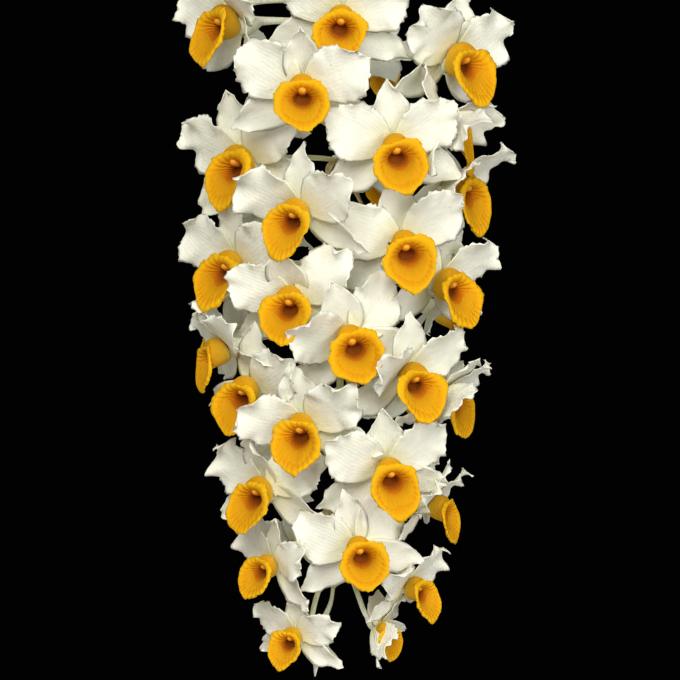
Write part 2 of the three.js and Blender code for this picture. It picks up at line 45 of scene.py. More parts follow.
# The camera looks straight at the raceme from the front, level with its middle.
view = {"target": (0.200, 0.0, 0.352), "distance": 1.2, "width": 0.2108, "sensor": 36}


# A new object of the scene that shows the data given.
def addObject(name, data):
    thing = bpy.data.objects.new(name, data)
    bpy.context.scene.collection.objects.link(thing)
    return thing


def makeCamera():
    data = bpy.data.cameras.new("camera")
    data.sensor_width = view["sensor"]
    data.lens = view["sensor"] * view["distance"] / view["width"]
    data.clip_start, data.clip_end = 0.01, 50
    camera = addObject("camera", data)
    x, y, z = view["target"]
    camera.location = (x, y - view["distance"], z)
    camera.rotation_euler = (math.radians(90), 0, 0)
    bpy.context.scene.camera = camera


# Soft boxes, each by its place, width, power, spread in degrees and colour, all turned to one aim. The room
# behind them is dark, and its floor reaches so many metres from the pot.
lamps = {
    "key": {"at": (-0.1, -1.6, 1.1), "wide": 1.0, "power": 5.6, "spread": 75, "colour": (1, 0.99, 0.95)},
    "fill": {"at": (1.3, -1.3, 0.55), "wide": 1.2, "power": 3.9, "spread": 75, "colour": (0.99, 1, 0.98)},
    "left": {"at": (-1.5, 0.1, 0.9), "wide": 0.9, "power": 2.2, "spread": 90, "colour": (1, 1, 1)},
    "behind": {"at": (0.3, 1.7, 1.4), "wide": 1.2, "power": 3.4, "spread": 90, "colour": (1, 1, 1)},
}
room = {"dark": (0.0006, 0.0006, 0.0007, 1), "aim": (0.15, 0, 0.33), "floorReach": 2.7, "floorSides": 128,
        "floorColour": (0.72, 0.71, 0.69, 1)}


def makeLight():
    for name, lamp in lamps.items():
        data = bpy.data.lights.new(name, "AREA")
        data.size, data.energy, data.color = lamp["wide"], lamp["power"], lamp["colour"]
        data.spread = math.radians(lamp["spread"])
        thing = addObject(name, data)
        thing.location = lamp["at"]
        toward = [a - b for a, b in zip(room["aim"], lamp["at"])]
        thing.rotation_euler = Vector(toward).to_track_quat("-Z", "Y").to_euler()
        thing.visible_camera = False
    world = bpy.data.worlds.new("room")
    world.use_nodes = True
    world.node_tree.nodes["Background"].inputs["Color"].default_value = room["dark"]
    bpy.context.scene.world = world


# Numbers and vectors, as whole arrays. A random start round a circle is a draw from 0 to 1 times circle.
circle = 6.28
millimetre = 0.001
skyward = np.array([0, 0, 1.0])
backward = np.array([[0, 1.0, 0]])


def unit(a):
    return a / np.maximum(np.linalg.norm(a, axis=-1, keepdims=True), 1e-12)


def dot(a, b):
    return np.sum(a * b, axis=-1, keepdims=True)


def mix(a, b, share):
    return a + (b - a) * share


# The angles of even steps round a circle.
def turnsOf(sides):
    return np.arange(sides) / sides * 2 * np.pi


# The cosine and sine of one angle in degrees.
def wayOf(angle):
    return math.cos(math.radians(angle)), math.sin(math.radians(angle))


# 0 below low, 1 above high, and smooth between.
def smooth(low, high, x):
    t = np.clip((x - low) / (high - low), 0, 1)
    return t * t * (3 - 2 * t)


# A vector turned about an axis: its part along the axis stays, and the rest turns by the angle in degrees.
def turned(a, axis, angle):
    c, s = np.cos(np.radians(angle))[..., None], np.sin(np.radians(angle))[..., None]
    return a * c + np.cross(axis, a) * s + axis * dot(axis, a) * (1 - c)


# The same draw from 0 to 1 for the same two whole numbers: the fraction of a large multiple of a sine.
def chance(which, draw):
    x = np.sin(np.asarray(which) * 12.9898 + draw * 78.233) * 43758.5453
    return x - np.floor(x)


# A draw from -reach to reach.
def around(which, draw, reach):
    return (chance(which, draw) * 2 - 1) * reach


# A smooth line through points: a cubic between each two, whose slope at a point comes from its neighbours,
# weighed by the square root of their distance. It is read at shares of its length.
def lineThrough(points, shares, fine=60):
    p = np.asarray(points, float)
    p = np.vstack([2 * p[0] - p[1], p, 2 * p[-1] - p[-2]])
    gap = np.sqrt(np.linalg.norm(np.diff(p, axis=0), axis=1))[:, None]
    a, b, c, d = p[:-3], p[1:-2], p[2:-1], p[3:]
    g0, g1, g2 = gap[:-2], gap[1:-1], gap[2:]
    m1 = g1 * ((b - a) / g0 - (c - a) / (g0 + g1) + (c - b) / g1)
    m2 = g1 * ((c - b) / g1 - (d - b) / (g1 + g2) + (d - c) / g2)
    t = (np.arange(fine) / fine)[None, :, None]
    b, c, m1, m2 = b[:, None], c[:, None], m1[:, None], m2[:, None]
    dense = b + m1 * t + (3 * (c - b) - 2 * m1 - m2) * t**2 + (2 * (b - c) + m1 + m2) * t**3
    dense = np.vstack([dense.reshape(-1, 3), p[-2]])
    run = np.concatenate([[0], np.cumsum(np.linalg.norm(np.diff(dense, axis=0), axis=1))])
    return np.stack([np.interp(np.asarray(shares) * run[-1], run, dense[:, k]) for k in range(3)], -1)


# A smooth way through rows of any length, set evenly from 0 to 1: a cubic between each two, whose slope at
# a row is half the step between its neighbours.
def rowsThrough(rows, way):
    p = np.asarray(rows, float)
    p = np.vstack([2 * p[0] - p[1], p, 2 * p[-1] - p[-2]])
    x = np.asarray(way) * (len(p) - 3)
    i = np.clip(x.astype(int), 0, len(p) - 4)
    t = (x - i)[:, None]
    a, b, c, d = p[i], p[i + 1], p[i + 2], p[i + 3]
    return b + 0.5 * t * (c - a + t * (2 * a - 5 * b + 4 * c - d + t * (3 * (b - c) + d - a)))


# Skins. A skin is a set of copies of one net: points as (copies, points, 3), faces by point number, each
# face's corners on a flat map from 0 to 1, and named values for the points.

# Rings square to a path, round or with a radius for each corner, none twisted against the one before.
# Paths are (copies, rings, 3) and radii (copies, rings) or (copies, rings, corners).
def ringsAlong(path, radii, sides, firstSide):
    ahead = unit(np.gradient(path, axis=1))
    turn = turnsOf(sides)
    radii = np.broadcast_to(radii[..., None] if radii.ndim == 2 else radii, path.shape[:2] + (sides,))
    side, rings = firstSide.astype(float), []
    for r in range(path.shape[1]):
        side = unit(side - dot(side, ahead[:, r]) * ahead[:, r])
        up = np.cross(ahead[:, r], side)
        spoke = side[:, None] * np.cos(turn)[None, :, None] + up[:, None] * np.sin(turn)[None, :, None]
        rings.append(path[:, r, None] + spoke * radii[:, r, :, None])
    return np.stack(rings, 1)


# Corners of faces on the flat map, from a pair of arrays, across and up, for each corner.
def corners(places):
    every = [np.stack(np.broadcast_arrays(x, y), -1) for x, y in places]
    return np.stack(every, -2).reshape(-1, len(every), 2)


square = ((0, 0), (1, 0), (1, 1), (0, 1))


# A closed skin over rings (copies, rings, corners, 3), each anticlockwise seen from ahead, with a point in
# the middle of either end.
def tubeSkin(rings, **values):
    copies, count, sides, _ = rings.shape

    def withEnds(full):
        flat = full.reshape(copies, count * sides, *full.shape[3:])
        return np.concatenate([flat, full[:, 0].mean(1)[:, None], full[:, -1].mean(1)[:, None]], 1)

    net = np.arange(count * sides).reshape(count, sides)
    beside = np.roll(net, -1, 1)
    quads = np.stack([net[:-1], beside[:-1], beside[1:], net[1:]], -1).reshape(-1, 4)
    head, tail = np.full(sides, count * sides), np.full(sides, count * sides + 1)
    tris = np.vstack([np.stack([head, beside[0], net[0]], -1), np.stack([tail, net[-1], beside[-1]], -1)])
    r, c = np.meshgrid(np.arange(count - 1), np.arange(sides), indexing="ij")
    quadMap = corners(((c + i) / sides, (r + j + 1) / (count + 1)) for i, j in square)
    c, low, high = np.arange(sides), 1 / (count + 1), count / (count + 1)
    triMap = np.vstack([corners([((c + 0.5) / sides, 0.0), ((c + 1) / sides, low), (c / sides, low)]),
                        corners([((c + 0.5) / sides, 1.0), (c / sides, high), ((c + 1) / sides, high)])])
    kept = {name: withEnds(np.broadcast_to(value, (copies, count, sides))) for name, value in values.items()}
    return {"points": withEnds(rings), "quads": quads, "tris": tris, "quadMap": quadMap, "triMap": triMap,
            "values": kept}


# A closed tube along a smooth line through points, at shares of its length.
def tubeAlong(points, t, radii, sides, **values):
    return tubeSkin(ringsAlong(lineThrough(points, t)[None], radii, sides, backward), **values)


# A thin closed blade over a grid of points (copies, rows, columns, 3): its front and back stand half its
# thickness off the grid along the grid's normals, and meet at its rim.
def bladeSkin(grid, thick, **values):
    copies, rows, cols, _ = grid.shape
    normal = unit(np.cross(np.gradient(grid, axis=1), np.gradient(grid, axis=2)))
    inside = np.zeros((rows, cols))
    inside[1:-1, 1:-1] = 1
    half = (np.asarray(thick) / 2 * inside)[..., None] * normal
    front, back = grid + half, (grid - half)[:, 1:-1, 1:-1]
    points = np.concatenate([front.reshape(copies, -1, 3), back.reshape(copies, -1, 3)], 1)
    net = np.arange(rows * cols).reshape(rows, cols)
    under = net.copy()
    under[1:-1, 1:-1] = rows * cols + np.arange((rows - 2) * (cols - 2)).reshape(rows - 2, cols - 2)
    quads = np.vstack([
        np.stack([net[:-1, :-1], net[1:, :-1], net[1:, 1:], net[:-1, 1:]], -1).reshape(-1, 4),
        np.stack([under[:-1, :-1], under[:-1, 1:], under[1:, 1:], under[1:, :-1]], -1).reshape(-1, 4)])
    r, c = np.meshgrid(np.arange(rows - 1), np.arange(cols - 1), indexing="ij")
    sides = ([(j, i) for i, j in square], 0), (square, 0.52)
    quadMap = np.vstack([corners(((c + i) / (cols - 1) * 0.48 + shift, (r + j) / (rows - 1))
                                 for i, j in order) for order, shift in sides])
    kept = {}
    for name, value in values.items():
        full = np.broadcast_to(value, (copies, rows, cols))
        kept[name] = np.concatenate([full.reshape(copies, -1), full[:, 1:-1, 1:-1].reshape(copies, -1)], 1)
    return {"points": points, "quads": quads, "tris": np.zeros((0, 3), int), "quadMap": quadMap,
            "triMap": np.zeros((0, 3, 2)), "values": kept}


# A piece of one or more skins, in metres. Every copy has a square of its own on the piece's flat map.
def makePiece(name, skins, material, nodes=(), smoothFaces=True):
    across = math.ceil(math.sqrt(sum(len(skin["points"]) for skin in skins)))
    points, faces, places, values, start, cell = [], [], [], {}, 0, 0
    for skin in skins:
        copies, count, _ = skin["points"].shape
        points.append(skin["points"].reshape(-1, 3))
        jump = (start + np.arange(copies) * count)[:, None, None]
        cells = cell + np.arange(copies)
        corner = np.stack([cells % across, cells // across], -1)[:, None, None]
        for net, flat in (("quads", "quadMap"), ("tris", "triMap")):
            if len(skin[net]):
                faces.append((skin[net][None] + jump).reshape(-1, skin[net].shape[1]))
                places.append(((corner + 0.03 + 0.94 * skin[flat][None]) / across).reshape(-1, 2))
        for key, value in skin["values"].items():
            values.setdefault(key, []).append(value.ravel())
        start, cell = start + copies * count, cell + copies
    mesh = bpy.data.meshes.new(name)
    rows = [row for net in faces for row in net.tolist()]
    mesh.from_pydata((np.concatenate(points) * millimetre).tolist(), [], rows)
    layer = mesh.uv_layers.new(name="OFBake")
    layer.uv.foreach_set("vector", np.concatenate(places).astype(np.float32).ravel())
    for key, value in values.items():
        attribute = mesh.attributes.new(key, "FLOAT", "POINT")
        attribute.data.foreach_set("value", np.concatenate(value).astype(np.float32))
    mesh.polygons.foreach_set("use_smooth", np.full(len(mesh.polygons), smoothFaces))
    mesh.materials.append(material)
    mesh.update()
    piece = addObject(name, mesh)
    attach(piece, "root")
    if nodes:
        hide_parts(*nodes)
    print(f"{name}: {len(mesh.vertices)} points, {len(mesh.polygons)} faces")
    return piece


# Shader sums. Flow wraps a socket, so that an expression on values adds its Math nodes.
class Flow:
    def __init__(self, sheet, socket):
        self.sheet, self.socket = sheet, socket

    def maths(self, operation, *values):
        return self.sheet.node("ShaderNodeMath", {"operation": operation}, dict(enumerate(values)))

    def __add__(self, other):
        return self.maths("ADD", self, other)

    def __sub__(self, other):
        return self.maths("SUBTRACT", self, other)

    def __rsub__(self, other):
        return self.maths("SUBTRACT", other, self)

    def __mul__(self, other):
        return self.maths("MULTIPLY", self, other)

    __radd__, __rmul__ = __add__, __mul__

    def sine(self):
        return self.maths("SINE", self)

    def size(self):
        return self.maths("ABSOLUTE", self)

    # From 0 at low to 1 at high, held outside them.
    def span(self, low, high):
        return self.sheet.node("ShaderNodeMapRange", {"interpolation_type": "SMOOTHSTEP"},
                               {"Value": self, "From Min": low, "From Max": high})


# A material and its nodes. A socket's value may be a flow, a number, a vector or a colour's six hex figures.
class Finish:
    def __init__(self, name, **constants):
        self.material = bpy.data.materials.new(name)
        self.material.use_nodes = True
        self.tree = self.material.node_tree
        self.shader = self.tree.nodes["Principled BSDF"]
        for key, value in constants.items():
            self.shader.inputs[key.replace("_", " ")].default_value = value

    def node(self, kind, settings=(), sockets=(), output=0):
        made = self.tree.nodes.new(kind)
        for key, value in dict(settings).items():
            if key == "stops":
                self.setStops(made.color_ramp, value)
            else:
                setattr(made, key, value)
        for key, value in dict(sockets).items():
            if isinstance(value, Flow):
                self.tree.links.new(value.socket, made.inputs[key])
            else:
                made.inputs[key].default_value = colour(value) if isinstance(value, str) else value
        return Flow(self, made.outputs[output])

    def setStops(self, ramp, stops):
        for i, (place, code) in enumerate(stops):
            stop = ramp.elements[i] if i < 2 else ramp.elements.new(place)
            stop.position, stop.color = place, colour(code)

    def value(self, name):
        return self.node("ShaderNodeAttribute", {"attribute_name": name}, output="Fac")

    def place(self):
        return self.node("ShaderNodeTexCoord", output="Object")

    # Cloudy noise whose blotches are about so many millimetres wide.
    def noise(self, width, detail=3, stretch=(1, 1, 1), rough=0.5):
        at = self.node("ShaderNodeMapping", sockets={"Vector": self.place(), "Scale": stretch})
        return self.node("ShaderNodeTexNoise", sockets={
            "Vector": at, "Scale": 1000 / width, "Detail": detail, "Roughness": rough})

    def ramp(self, flow, stops):
        return self.node("ShaderNodeValToRGB", {"stops": stops}, {"Fac": flow})

    def blend(self, share, a, b, mode="MIX"):
        settings = {"data_type": "RGBA", "blend_type": mode}
        return self.node("ShaderNodeMix", settings, {0: share, 6: a, 7: b}, 2)

    # The colour, the roughness unless it is None, and a bump of some strength over so many metres.
    def wear(self, base, rough, height, strength, distance):
        sockets = {"Height": height, "Strength": strength, "Distance": distance}
        normal = self.node("ShaderNodeBump", sockets=sockets)
        for name, flow in {"Base Color": base, "Roughness": rough, "Normal": normal}.items():
            if flow is not None:
                self.tree.links.new(flow.socket, self.shader.inputs[name])
        return self.material


# A colour as it shows on a screen, by its six hex figures.
def colour(code):
    parts = [int(code[i:i + 2], 16) / 255 for i in (0, 2, 4)]
    return (*[c / 12.92 if c <= 0.04045 else ((c + 0.055) / 1.055) ** 2.4 for c in parts], 1)


# Finishes of the raceme.

def petalFinish():
    f = Finish("petal white", Roughness=0.62, Specular_IOR_Level=0.3, Subsurface_Weight=0.12,
               Subsurface_Radius=(0.8, 0.8, 0.6), Subsurface_Scale=0.002)
    along, across = f.value("along"), f.value("across")
    cloud = f.noise(7)
    veins = (across * 46 + f.noise(5) * 5).sine() * (1 - along.span(0.75, 1))
    white = f.blend(cloud.span(0.35, 0.7), "EEEDDD", "F8F7E6")
    creamy = f.blend((1 - along.span(0.05, 0.42)) * 0.75, white, "EEEDC0")
    faint = f.blend(veins.span(0.2, 1) * 0.05, creamy, "D9DCC0")
    # Blooms that face away are greyed by their back value: painted shade, as they get less light.
    paintedShade = f.blend(f.value("back") * 0.35, faint, "C9CBC4")
    return f.wear(paintedShade, 0.55 + cloud * 0.16, veins * 0.08 + f.noise(2.6, 5, rough=0.6) * 1.6, 0.5, 0.0004)


def lipFinish():
    f = Finish("lip golden", Roughness=0.85, Specular_IOR_Level=0.15, Sheen_Weight=0.25,
               Sheen_Roughness=0.4, Sheen_Tint=colour("FFC21E"))
    along = f.value("along")
    # Along the lip: yellow at its foot, golden at the rim and deeper orange inside, which is its own colour;
    # the brown towards the far end of the throat is painted shade in the hollow.
    rings = f.ramp(along + (f.noise(3) - 0.5) * 0.05, [
        (0, "E3D27A"), (1, "7C3E08"), (0.1, "D2A82C"), (0.3, "C9920E"),
        (0.42, "DC9E08"), (0.5, "E6B212"), (0.6, "E8AE0E"), (0.68, "DC9A06"),
        (0.76, "CF8A00"), (0.82, "C67A04"), (0.88, "AA5E06"), (0.94, "8C4808")])
    fuzz, folds = f.noise(0.45, 2), (f.value("round") * 23 + f.noise(4) * 6).sine()
    mottled = f.blend(fuzz.span(0.3, 0.75) * 0.3, rings, "FFB400", "SOFT_LIGHT")
    streaked = f.blend(folds.span(0.3, 1) * along.span(0.6, 0.7) * 0.14, mottled, "C87800")
    return f.wear(streaked, 0.75 + fuzz * 0.2, fuzz + folds * along.span(0.3, 0.5) * 0.5, 0.5, 0.0004)


def stalkFinish(name, young, old, streak):
    f = Finish(name, Roughness=0.5, Specular_IOR_Level=0.4)
    along = f.value("along")
    streaks = f.noise(1.2, 3, (1, 1, 0.12))
    body = f.blend(along.span(0.1, 0.9), young, old)
    fresh = f.blend(streaks.span(0.35, 0.75) * 0.35, body, streak)
    return f.wear(fresh, 0.42 + streaks * 0.2, streaks, 0.3, 0.0003)


def paperFinish():
    f = Finish("dry bract", Roughness=0.8, Specular_IOR_Level=0.2)
    fibres = f.noise(0.9, 3, (1, 1, 0.3))
    return f.wear(f.blend(fibres.span(0.3, 0.7), "C9A873", "E4D2A8"), None, fibres, 0.5, 0.0003)


# The raceme. A bloom is placed by where the mouth of its lip shows from the front in a square view of the
# raceme, 680 steps a side: across, down, the way it faces round from the viewer and down from level, its
# turn about its own middle, its size, and how far it stands out. Angles in degrees; past 90 it faces away.
# The first 26 rows and rows 31 and 34 were tuned in steps, by how far the flowers' bright and
# golden areas then overlapped those of the photograph, and so were closing, bent, whorlTilt, petal, sepal,
# the upper sepal and the lip's size below. The other rows are guesses.
picture = {"step": 0.31, "middle": 340, "eye": 1200, "stalkEnds": 588}
raceme = {"x": 200, "z": 352, "girth": 36, "stalk": 1.9, "stalkEnd": 0.75, "bow": 1.9, "bowFrom": 330,
          "pedicel": 0.75, "ovary": 1.35}
narrowing = {"from": 430, "over": 170, "by": 10, "tipFrom": 600, "tipOver": 55, "tipBy": 9}
stalkFoot = raceme["z"] - (picture["stalkEnds"] - picture["middle"]) * picture["step"]
placings = [
    (207, 38, -50, 5, 6, 1.07), (339, 38, 0, 10, -7, 1.01, -3), (477, 78, 44, 8, 0, 1.1),
    (302, 106, 0, 3, 0, 1.03, 5), (226, 180, -37, 6, 9, 1.11, -3), (402, 168, 12, 9, 7, 1.04, 2),
    (477, 208, 56, 20, 4, 1.03), (284, 233, -31, 13, -7, 1.0, 3), (213, 283, -42, 4, -6, 1.03),
    (412, 265, 10, 10, 12, 1.04), (464, 302, 46, 8, 3, 1.02), (284, 319, -20, 6, 4, 1.01),
    (233, 410, -37, 15, -8, 0.96), (358, 358, 4, 5, 18, 1.04), (424, 397, 30, 11, 5, 1.0),
    (464, 417, 62, 25, 10, 0.84), (295, 448, -21, 9, 4, 1.01), (246, 509, -38, 8, -4, 0.96),
    (397, 493, 16, 13, 8, 1.0), (452, 523, 70, 19, 12, 0.78), (253, 579, -44, 5, -18, 0.76),
    (366, 567, 9, 6, 16, 0.93), (429, 602, 56, 11, 16, 0.75), (283, 651, -30, 7, -10, 0.71),
    (391, 645, 46, 30, 14, 0.62), (203, 370, -72, 20, -2, 0.87, 4), (262, -72, -30, 12, -8, 0.82),
    (402, -74, 28, 12, 10, 0.82), (384, 78, 142, 28, 12, 0.84), (262, 134, -120, 14, -10, 0.66),
    (468, 148, 82, 17, 12, 0.98), (384, 192, 150, 20, 0, 0.84), (458, 330, 100, 24, 0, 0.84),
    (213, 350, -125, 6, 6, 0.8), (286, 558, -150, 14, 0, 0.68), (424, 410, 160, 14, 0, 0.78),
    (294, 440, -165, 14, 0, 0.78), (205, 28, -112, 14, 0, 0.84), (470, -46, 120, 14, 0, 0.82),
    (248, 240, -140, 16, 0, 0.8), (420, 263, 160, 16, 0, 0.8), (250, 494, -145, 14, 0, 0.76),
    (394, 490, 170, 14, 0, 0.78), (336, -54, 178, 12, 0, 0.88),
]
# The five tepals, round from the petal on one side: how many degrees each closes on a bloom seen from the
# side, and the degrees by which those of single blooms, by number, are bent besides.
closing = [14, -6, 14, 10, 10]
bent = {1: (25, 0, 0, 0, 40), 25: (0, 0, 64, 64, 0), 31: (0, 0, 30, 0, 0)}
hubRadius, whorlTilt = 3, 17
petal = {"length": 18.5, "width": 18, "neck": 0.34, "belly": 1.08, "fullness": 0.58, "end": 0.968,
         "cup": 0.12, "lift": 0, "curl": -19}
sepal = {"length": 20, "width": 12.5, "neck": 0.6, "belly": 0.72, "fullness": 0.85, "end": 0.985,
         "cup": 0.2, "lift": -2, "curl": -8}
tepals = [{**petal, "aim": 34}, {**sepal, "aim": 90, "length": 17, "lift": -8, "curl": 8},
          {**petal, "aim": 146}, {**sepal, "aim": 208}, {**sepal, "aim": 332}]
# A lip from its foot to its rim and back in to its throat. Each row: the section's top and bottom, half its
# width, and how far forward its top and bottom stand. Then the middle of its mouth and of its body.
lip = {"out": [(1.4, -4.2, 2.8, 1, 1), (4.4, -5.0, 3.9, 2.4, 3), (5.6, -5.2, 4.5, 4.8, 6),
               (5.4, -5.2, 4.6, 6.8, 8.6), (4.1, -6.2, 5.0, 7.9, 11.4), (3.4, -9.0, 6.5, 8.2, 14.2),
               (4.4, -12.1, 8.3, 8.0, 15.1)],
       "in": [(4.5, -12.3, 8.4, 8.6, 15.7), (3.6, -11.6, 7.6, 9.3, 16.1), (2.2, -9.9, 6.2, 8.9, 15.0),
              (1.1, -7.3, 4.7, 7.7, 12.2), (0.2, -5.2, 3.4, 6.4, 9.4), (-0.4, -4.3, 2.7, 5.0, 6.8),
              (-0.6, -3.9, 2.3, 4.0, 4.6)],
       "mouth": (0, -4.4, 12.3), "body": (0, -2.14, 8.82), "size": 0.94,
       "egg": 0.2, "point": 0.4, "notch": 0.5, "sides": 84, "seed": 5}


# The blooms' middles lie on a round wall about the stalk, narrower at its lower end. A bloom's frame has
# its facing as z and its upper sepal's side as y. Its middle is found by a few passes, since how small it
# looks depends on how near it is.
def placeBlooms():
    table = np.array([(*row, 0)[:7] for row in placings], float)
    across, down, turn, nod, roll, size, stand = table.T
    ct, st, cn, sn = (f(np.radians(a)) for a in (turn, nod) for f in (np.cos, np.sin))
    facing = np.stack([st * cn, -ct * cn, -sn], -1)
    upright = turned(np.stack([st * sn, -ct * sn, cn], -1), facing, roll)
    basis = np.stack([np.cross(upright, facing), upright, facing], -1) * size[:, None, None]
    mouth = basis @ np.array(lip["mouth"]) * lip["size"]
    waist = narrowing["by"] * np.clip((down - narrowing["from"]) / narrowing["over"], 0, 1)
    tip = narrowing["tipBy"] * np.clip((down - narrowing["tipFrom"]) / narrowing["tipOver"], 0, None)
    girth = raceme["girth"] - waist - tip + stand
    shrink = np.ones(len(table))
    for _ in range(4):
        x = (across - picture["middle"]) * picture["step"] * shrink - mouth[:, 0]
        near = np.sqrt(np.maximum(0, girth**2 - x**2)) * np.where(np.abs(turn) > 90, -1, 1)
        shrink = 1 - (near - mouth[:, 1]) / picture["eye"]
    z = raceme["z"] - (down - picture["middle"]) * picture["step"] * shrink - mouth[:, 2]
    middle = np.stack([raceme["x"] + x, -near, z], -1)
    lips = middle + basis @ np.array(lip["body"]) * lip["size"]
    out = unit(np.stack([x, -near, x * 0], -1))
    return {"down": down, "turn": turn, "size": size, "middle": middle, "basis": basis, "facing": facing,
            "out": out, "lips": lips, "bends": np.zeros((len(table), 5))}


# How broad a tepal is along its length: a sine arch whose peak is moved towards the root, on a plain neck.
def outline(shape, u):
    blade = np.sin(np.pi * (shape["end"] * np.clip(u, 0, 1)) ** shape["belly"]) ** shape["fullness"]
    return shape["neck"] * (1 - u) + (1 - shape["neck"] * (1 - u)) * blade


# A tepal's middle line is an arc that starts at its lift and bends by its curl; half its width is laid off
# square to it, cupped with the square of the distance from the middle. The whole whorl leans forward.
def tepalPoints(shape, bend, u, v, half, outward=0, sideways=0, lifted=0):
    lift, curl = np.radians(shape["lift"] + bend), np.radians(shape["curl"])
    along = shape["length"] / curl * (np.sin(lift + curl * u) - np.sin(lift))
    rise = -shape["length"] / curl * (np.cos(lift + curl * u) - np.cos(lift))
    c, s = wayOf(shape["aim"])
    out, side = hubRadius + along + outward, v * half + sideways
    wave = 0.5 * np.sin(7 * u + shape["aim"]) * v * v * u
    up = rise + shape["cup"] * half * v * v + wave + lifted
    x, y = c * out - s * side, s * out + c * side
    c, s = wayOf(whorlTilt)
    return np.stack(np.broadcast_arrays(x, c * y - s * up, s * y + c * up), -1)


# Tries each bend for each tepal. The best has the least room missing to other blooms' lips and to the marks
# left on tepals that are settled, a lip weighing more, and takes the least effort. Blooms at the sides are
# less open than those at the front.
settling = {"steps": [0, -8, 8, -16, 16, -24, 24, -34, 34, -44, -54, -66.0], "effort": 0.04,
            "lipReach": 42, "lipRoom": 10.2, "lipWeight": 6, "markReach": 30, "markRoom": 2.8,
            "marksOut": [0.4, 0.7, 0.95], "marksAcross": [-0.9, 0, 0.9]}


def settleTepals(blooms):
    steps = np.array(settling["steps"])
    closed = np.abs(np.sin(np.radians(blooms["turn"])))[:, None] * np.array(closing)
    for bloom, bend in bent.items():
        closed[bloom - 1] += bend
    u, v = (a.ravel() for a in np.meshgrid(settling["marksOut"], settling["marksAcross"], indexing="ij"))
    marks, owners = np.zeros((0, 3)), np.zeros(0, int)
    for b, (middle, basis) in enumerate(zip(blooms["middle"], blooms["basis"])):
        others = np.linalg.norm(blooms["lips"] - middle, axis=1) < settling["lipReach"]
        others[b] = False
        lips, sizes = blooms["lips"][others], blooms["size"][others]
        for k, shape in enumerate(tepals):
            close = np.linalg.norm(marks - middle, axis=1) < settling["markReach"]
            near = marks[(owners != b) & close]
            half = shape["width"] / 2 * outline(shape, u)
            points = tepalPoints(shape, steps[:, None] + closed[b, k], u, v, half) @ basis.T + middle
            score = -settling["effort"] * np.abs(steps)
            if len(lips):
                gap = np.linalg.norm(points[:, :, None] - lips, axis=-1) - settling["lipRoom"] * sizes
                score = score + settling["lipWeight"] * np.minimum(0, gap.min((1, 2)))
            if len(near):
                gap = np.linalg.norm(points[:, :, None] - near, axis=-1) - settling["markRoom"]
                score = score + np.minimum(0, gap.min((1, 2)))
            best = 0
            for i in range(1, len(steps)):
                best = i if score[i] > score[best] + 1e-6 else best
            blooms["bends"][b, k] = steps[best] + closed[b, k]
            marks = np.vstack([marks, points[best]])
            owners = np.append(owners, np.full(len(u), b))


# Points of chosen blooms' own frames, (blooms, ..., 3), in the plant's frame.
def intoPlant(blooms, chosen, points):
    shape = points.shape
    flat = points.reshape(len(chosen), -1, 3) @ blooms["basis"][chosen].transpose(0, 2, 1)
    return (flat + blooms["middle"][chosen][:, None]).reshape(shape)


blade = {"petalRows": 34, "petalCols": 19, "sepalRows": 18, "sepalCols": 11, "thick": 0.3, "ruffle": 1.2,
         "teeth": 0.45, "uneven": 0.16, "crease": 1.4, "droop": 5, "twist": 46, "sway": 2.4, "seed": 11}


# The tepals of chosen blooms as thin blades. Ruffles grow with the cube of the distance from a tepal's
# middle, as sines of the angle round it; a crease runs along it, it twists as it goes out, and a petal's
# rim is cut by waves and small random teeth.
def tepalSkins(blooms, chosen):
    skins = []
    for k, shape in enumerate(tepals):
        wide = k in (0, 2)
        rows, cols = (blade[("petal" if wide else "sepal") + part] for part in ("Rows", "Cols"))
        draw = np.random.default_rng(blade["seed"] + k)
        dice = draw.random((len(placings), 12, 1, 1))[chosen]
        notch = draw.random((len(placings), rows, cols))[chosen]
        t = np.linspace(0, 1, rows)[:, None]
        u = -0.1 + 1.1 * (1 - (1 - t) ** 1.35)
        v = np.linspace(-1, 1, cols)[None]
        start = circle * dice
        half = shape["width"] / 2 * outline(shape, u) * (1 + blade["uneven"] * (dice[:, 0] - 0.5))
        angle = np.arctan2(v * outline(shape, u), (u - 0.5) * 2)
        reach = np.hypot(v, (u - 0.5) * 2) * smooth(0.05, 0.5, u)
        rim = np.maximum(np.abs(v) == 1, t == 1) * smooth(0.15, 0.4, u)
        ruffle = blade["ruffle"] * (1 if wide else 0.45)
        lift = np.sin((4 + np.floor(dice[:, 1] * 3)) * angle + start[:, 2]) * (0.5 + dice[:, 3])
        lift = ruffle * (reach**3 * lift + 0.35 * reach**4 * np.sin(11 * angle + start[:, 4]))
        crease = np.abs(v - 0.6 * (dice[:, 9] - 0.5)) * smooth(0, 0.6, u)
        lift = lift + blade["crease"] * (dice[:, 8] - 0.35) * crease
        lift = lift + (0.4 if wide else -0.7) + blade["droop"] * (dice[:, 10] - 0.5) * np.clip(u, 0, 1) ** 3
        twist = np.radians(blade["twist"]) * (dice[:, 5] - 0.5) * np.clip(u, 0, 1)
        lift = lift + np.sin(twist) * v * half
        tooth = 0.6 * np.sin(17 * angle + start[:, 6]) + 0.6 * np.sin(31 * angle + start[:, 7])
        tooth = (tooth + 1.6 * (notch - 0.5)) * blade["teeth"] * rim * (1 if wide else 0.25)
        roundTip = (1 - v * v) * smooth(0.6, 1, u) * (1.6 if wide else 1.4)
        outward = np.cos(angle) * tooth + roundTip
        sideways = np.sin(angle) * tooth - (1 - np.cos(twist)) * v * half
        sideways = sideways + blade["sway"] * (dice[:, 11] - 0.5) * np.clip(u, 0, 1) ** 2
        bends = blooms["bends"][chosen, k][:, None, None]
        grid = tepalPoints(shape, bends, u, v, half, outward, sideways, lift)
        # back is 1 on blooms that face away; the petal finish greys them by it as painted shade.
        back = (np.abs(blooms["turn"][chosen]) > 90)[:, None, None]
        skins.append(bladeSkin(intoPlant(blooms, chosen, grid), blade["thick"],
                               along=np.clip(u, 0, 1) + 0 * v, across=v + 0 * u, back=back))
    return skins


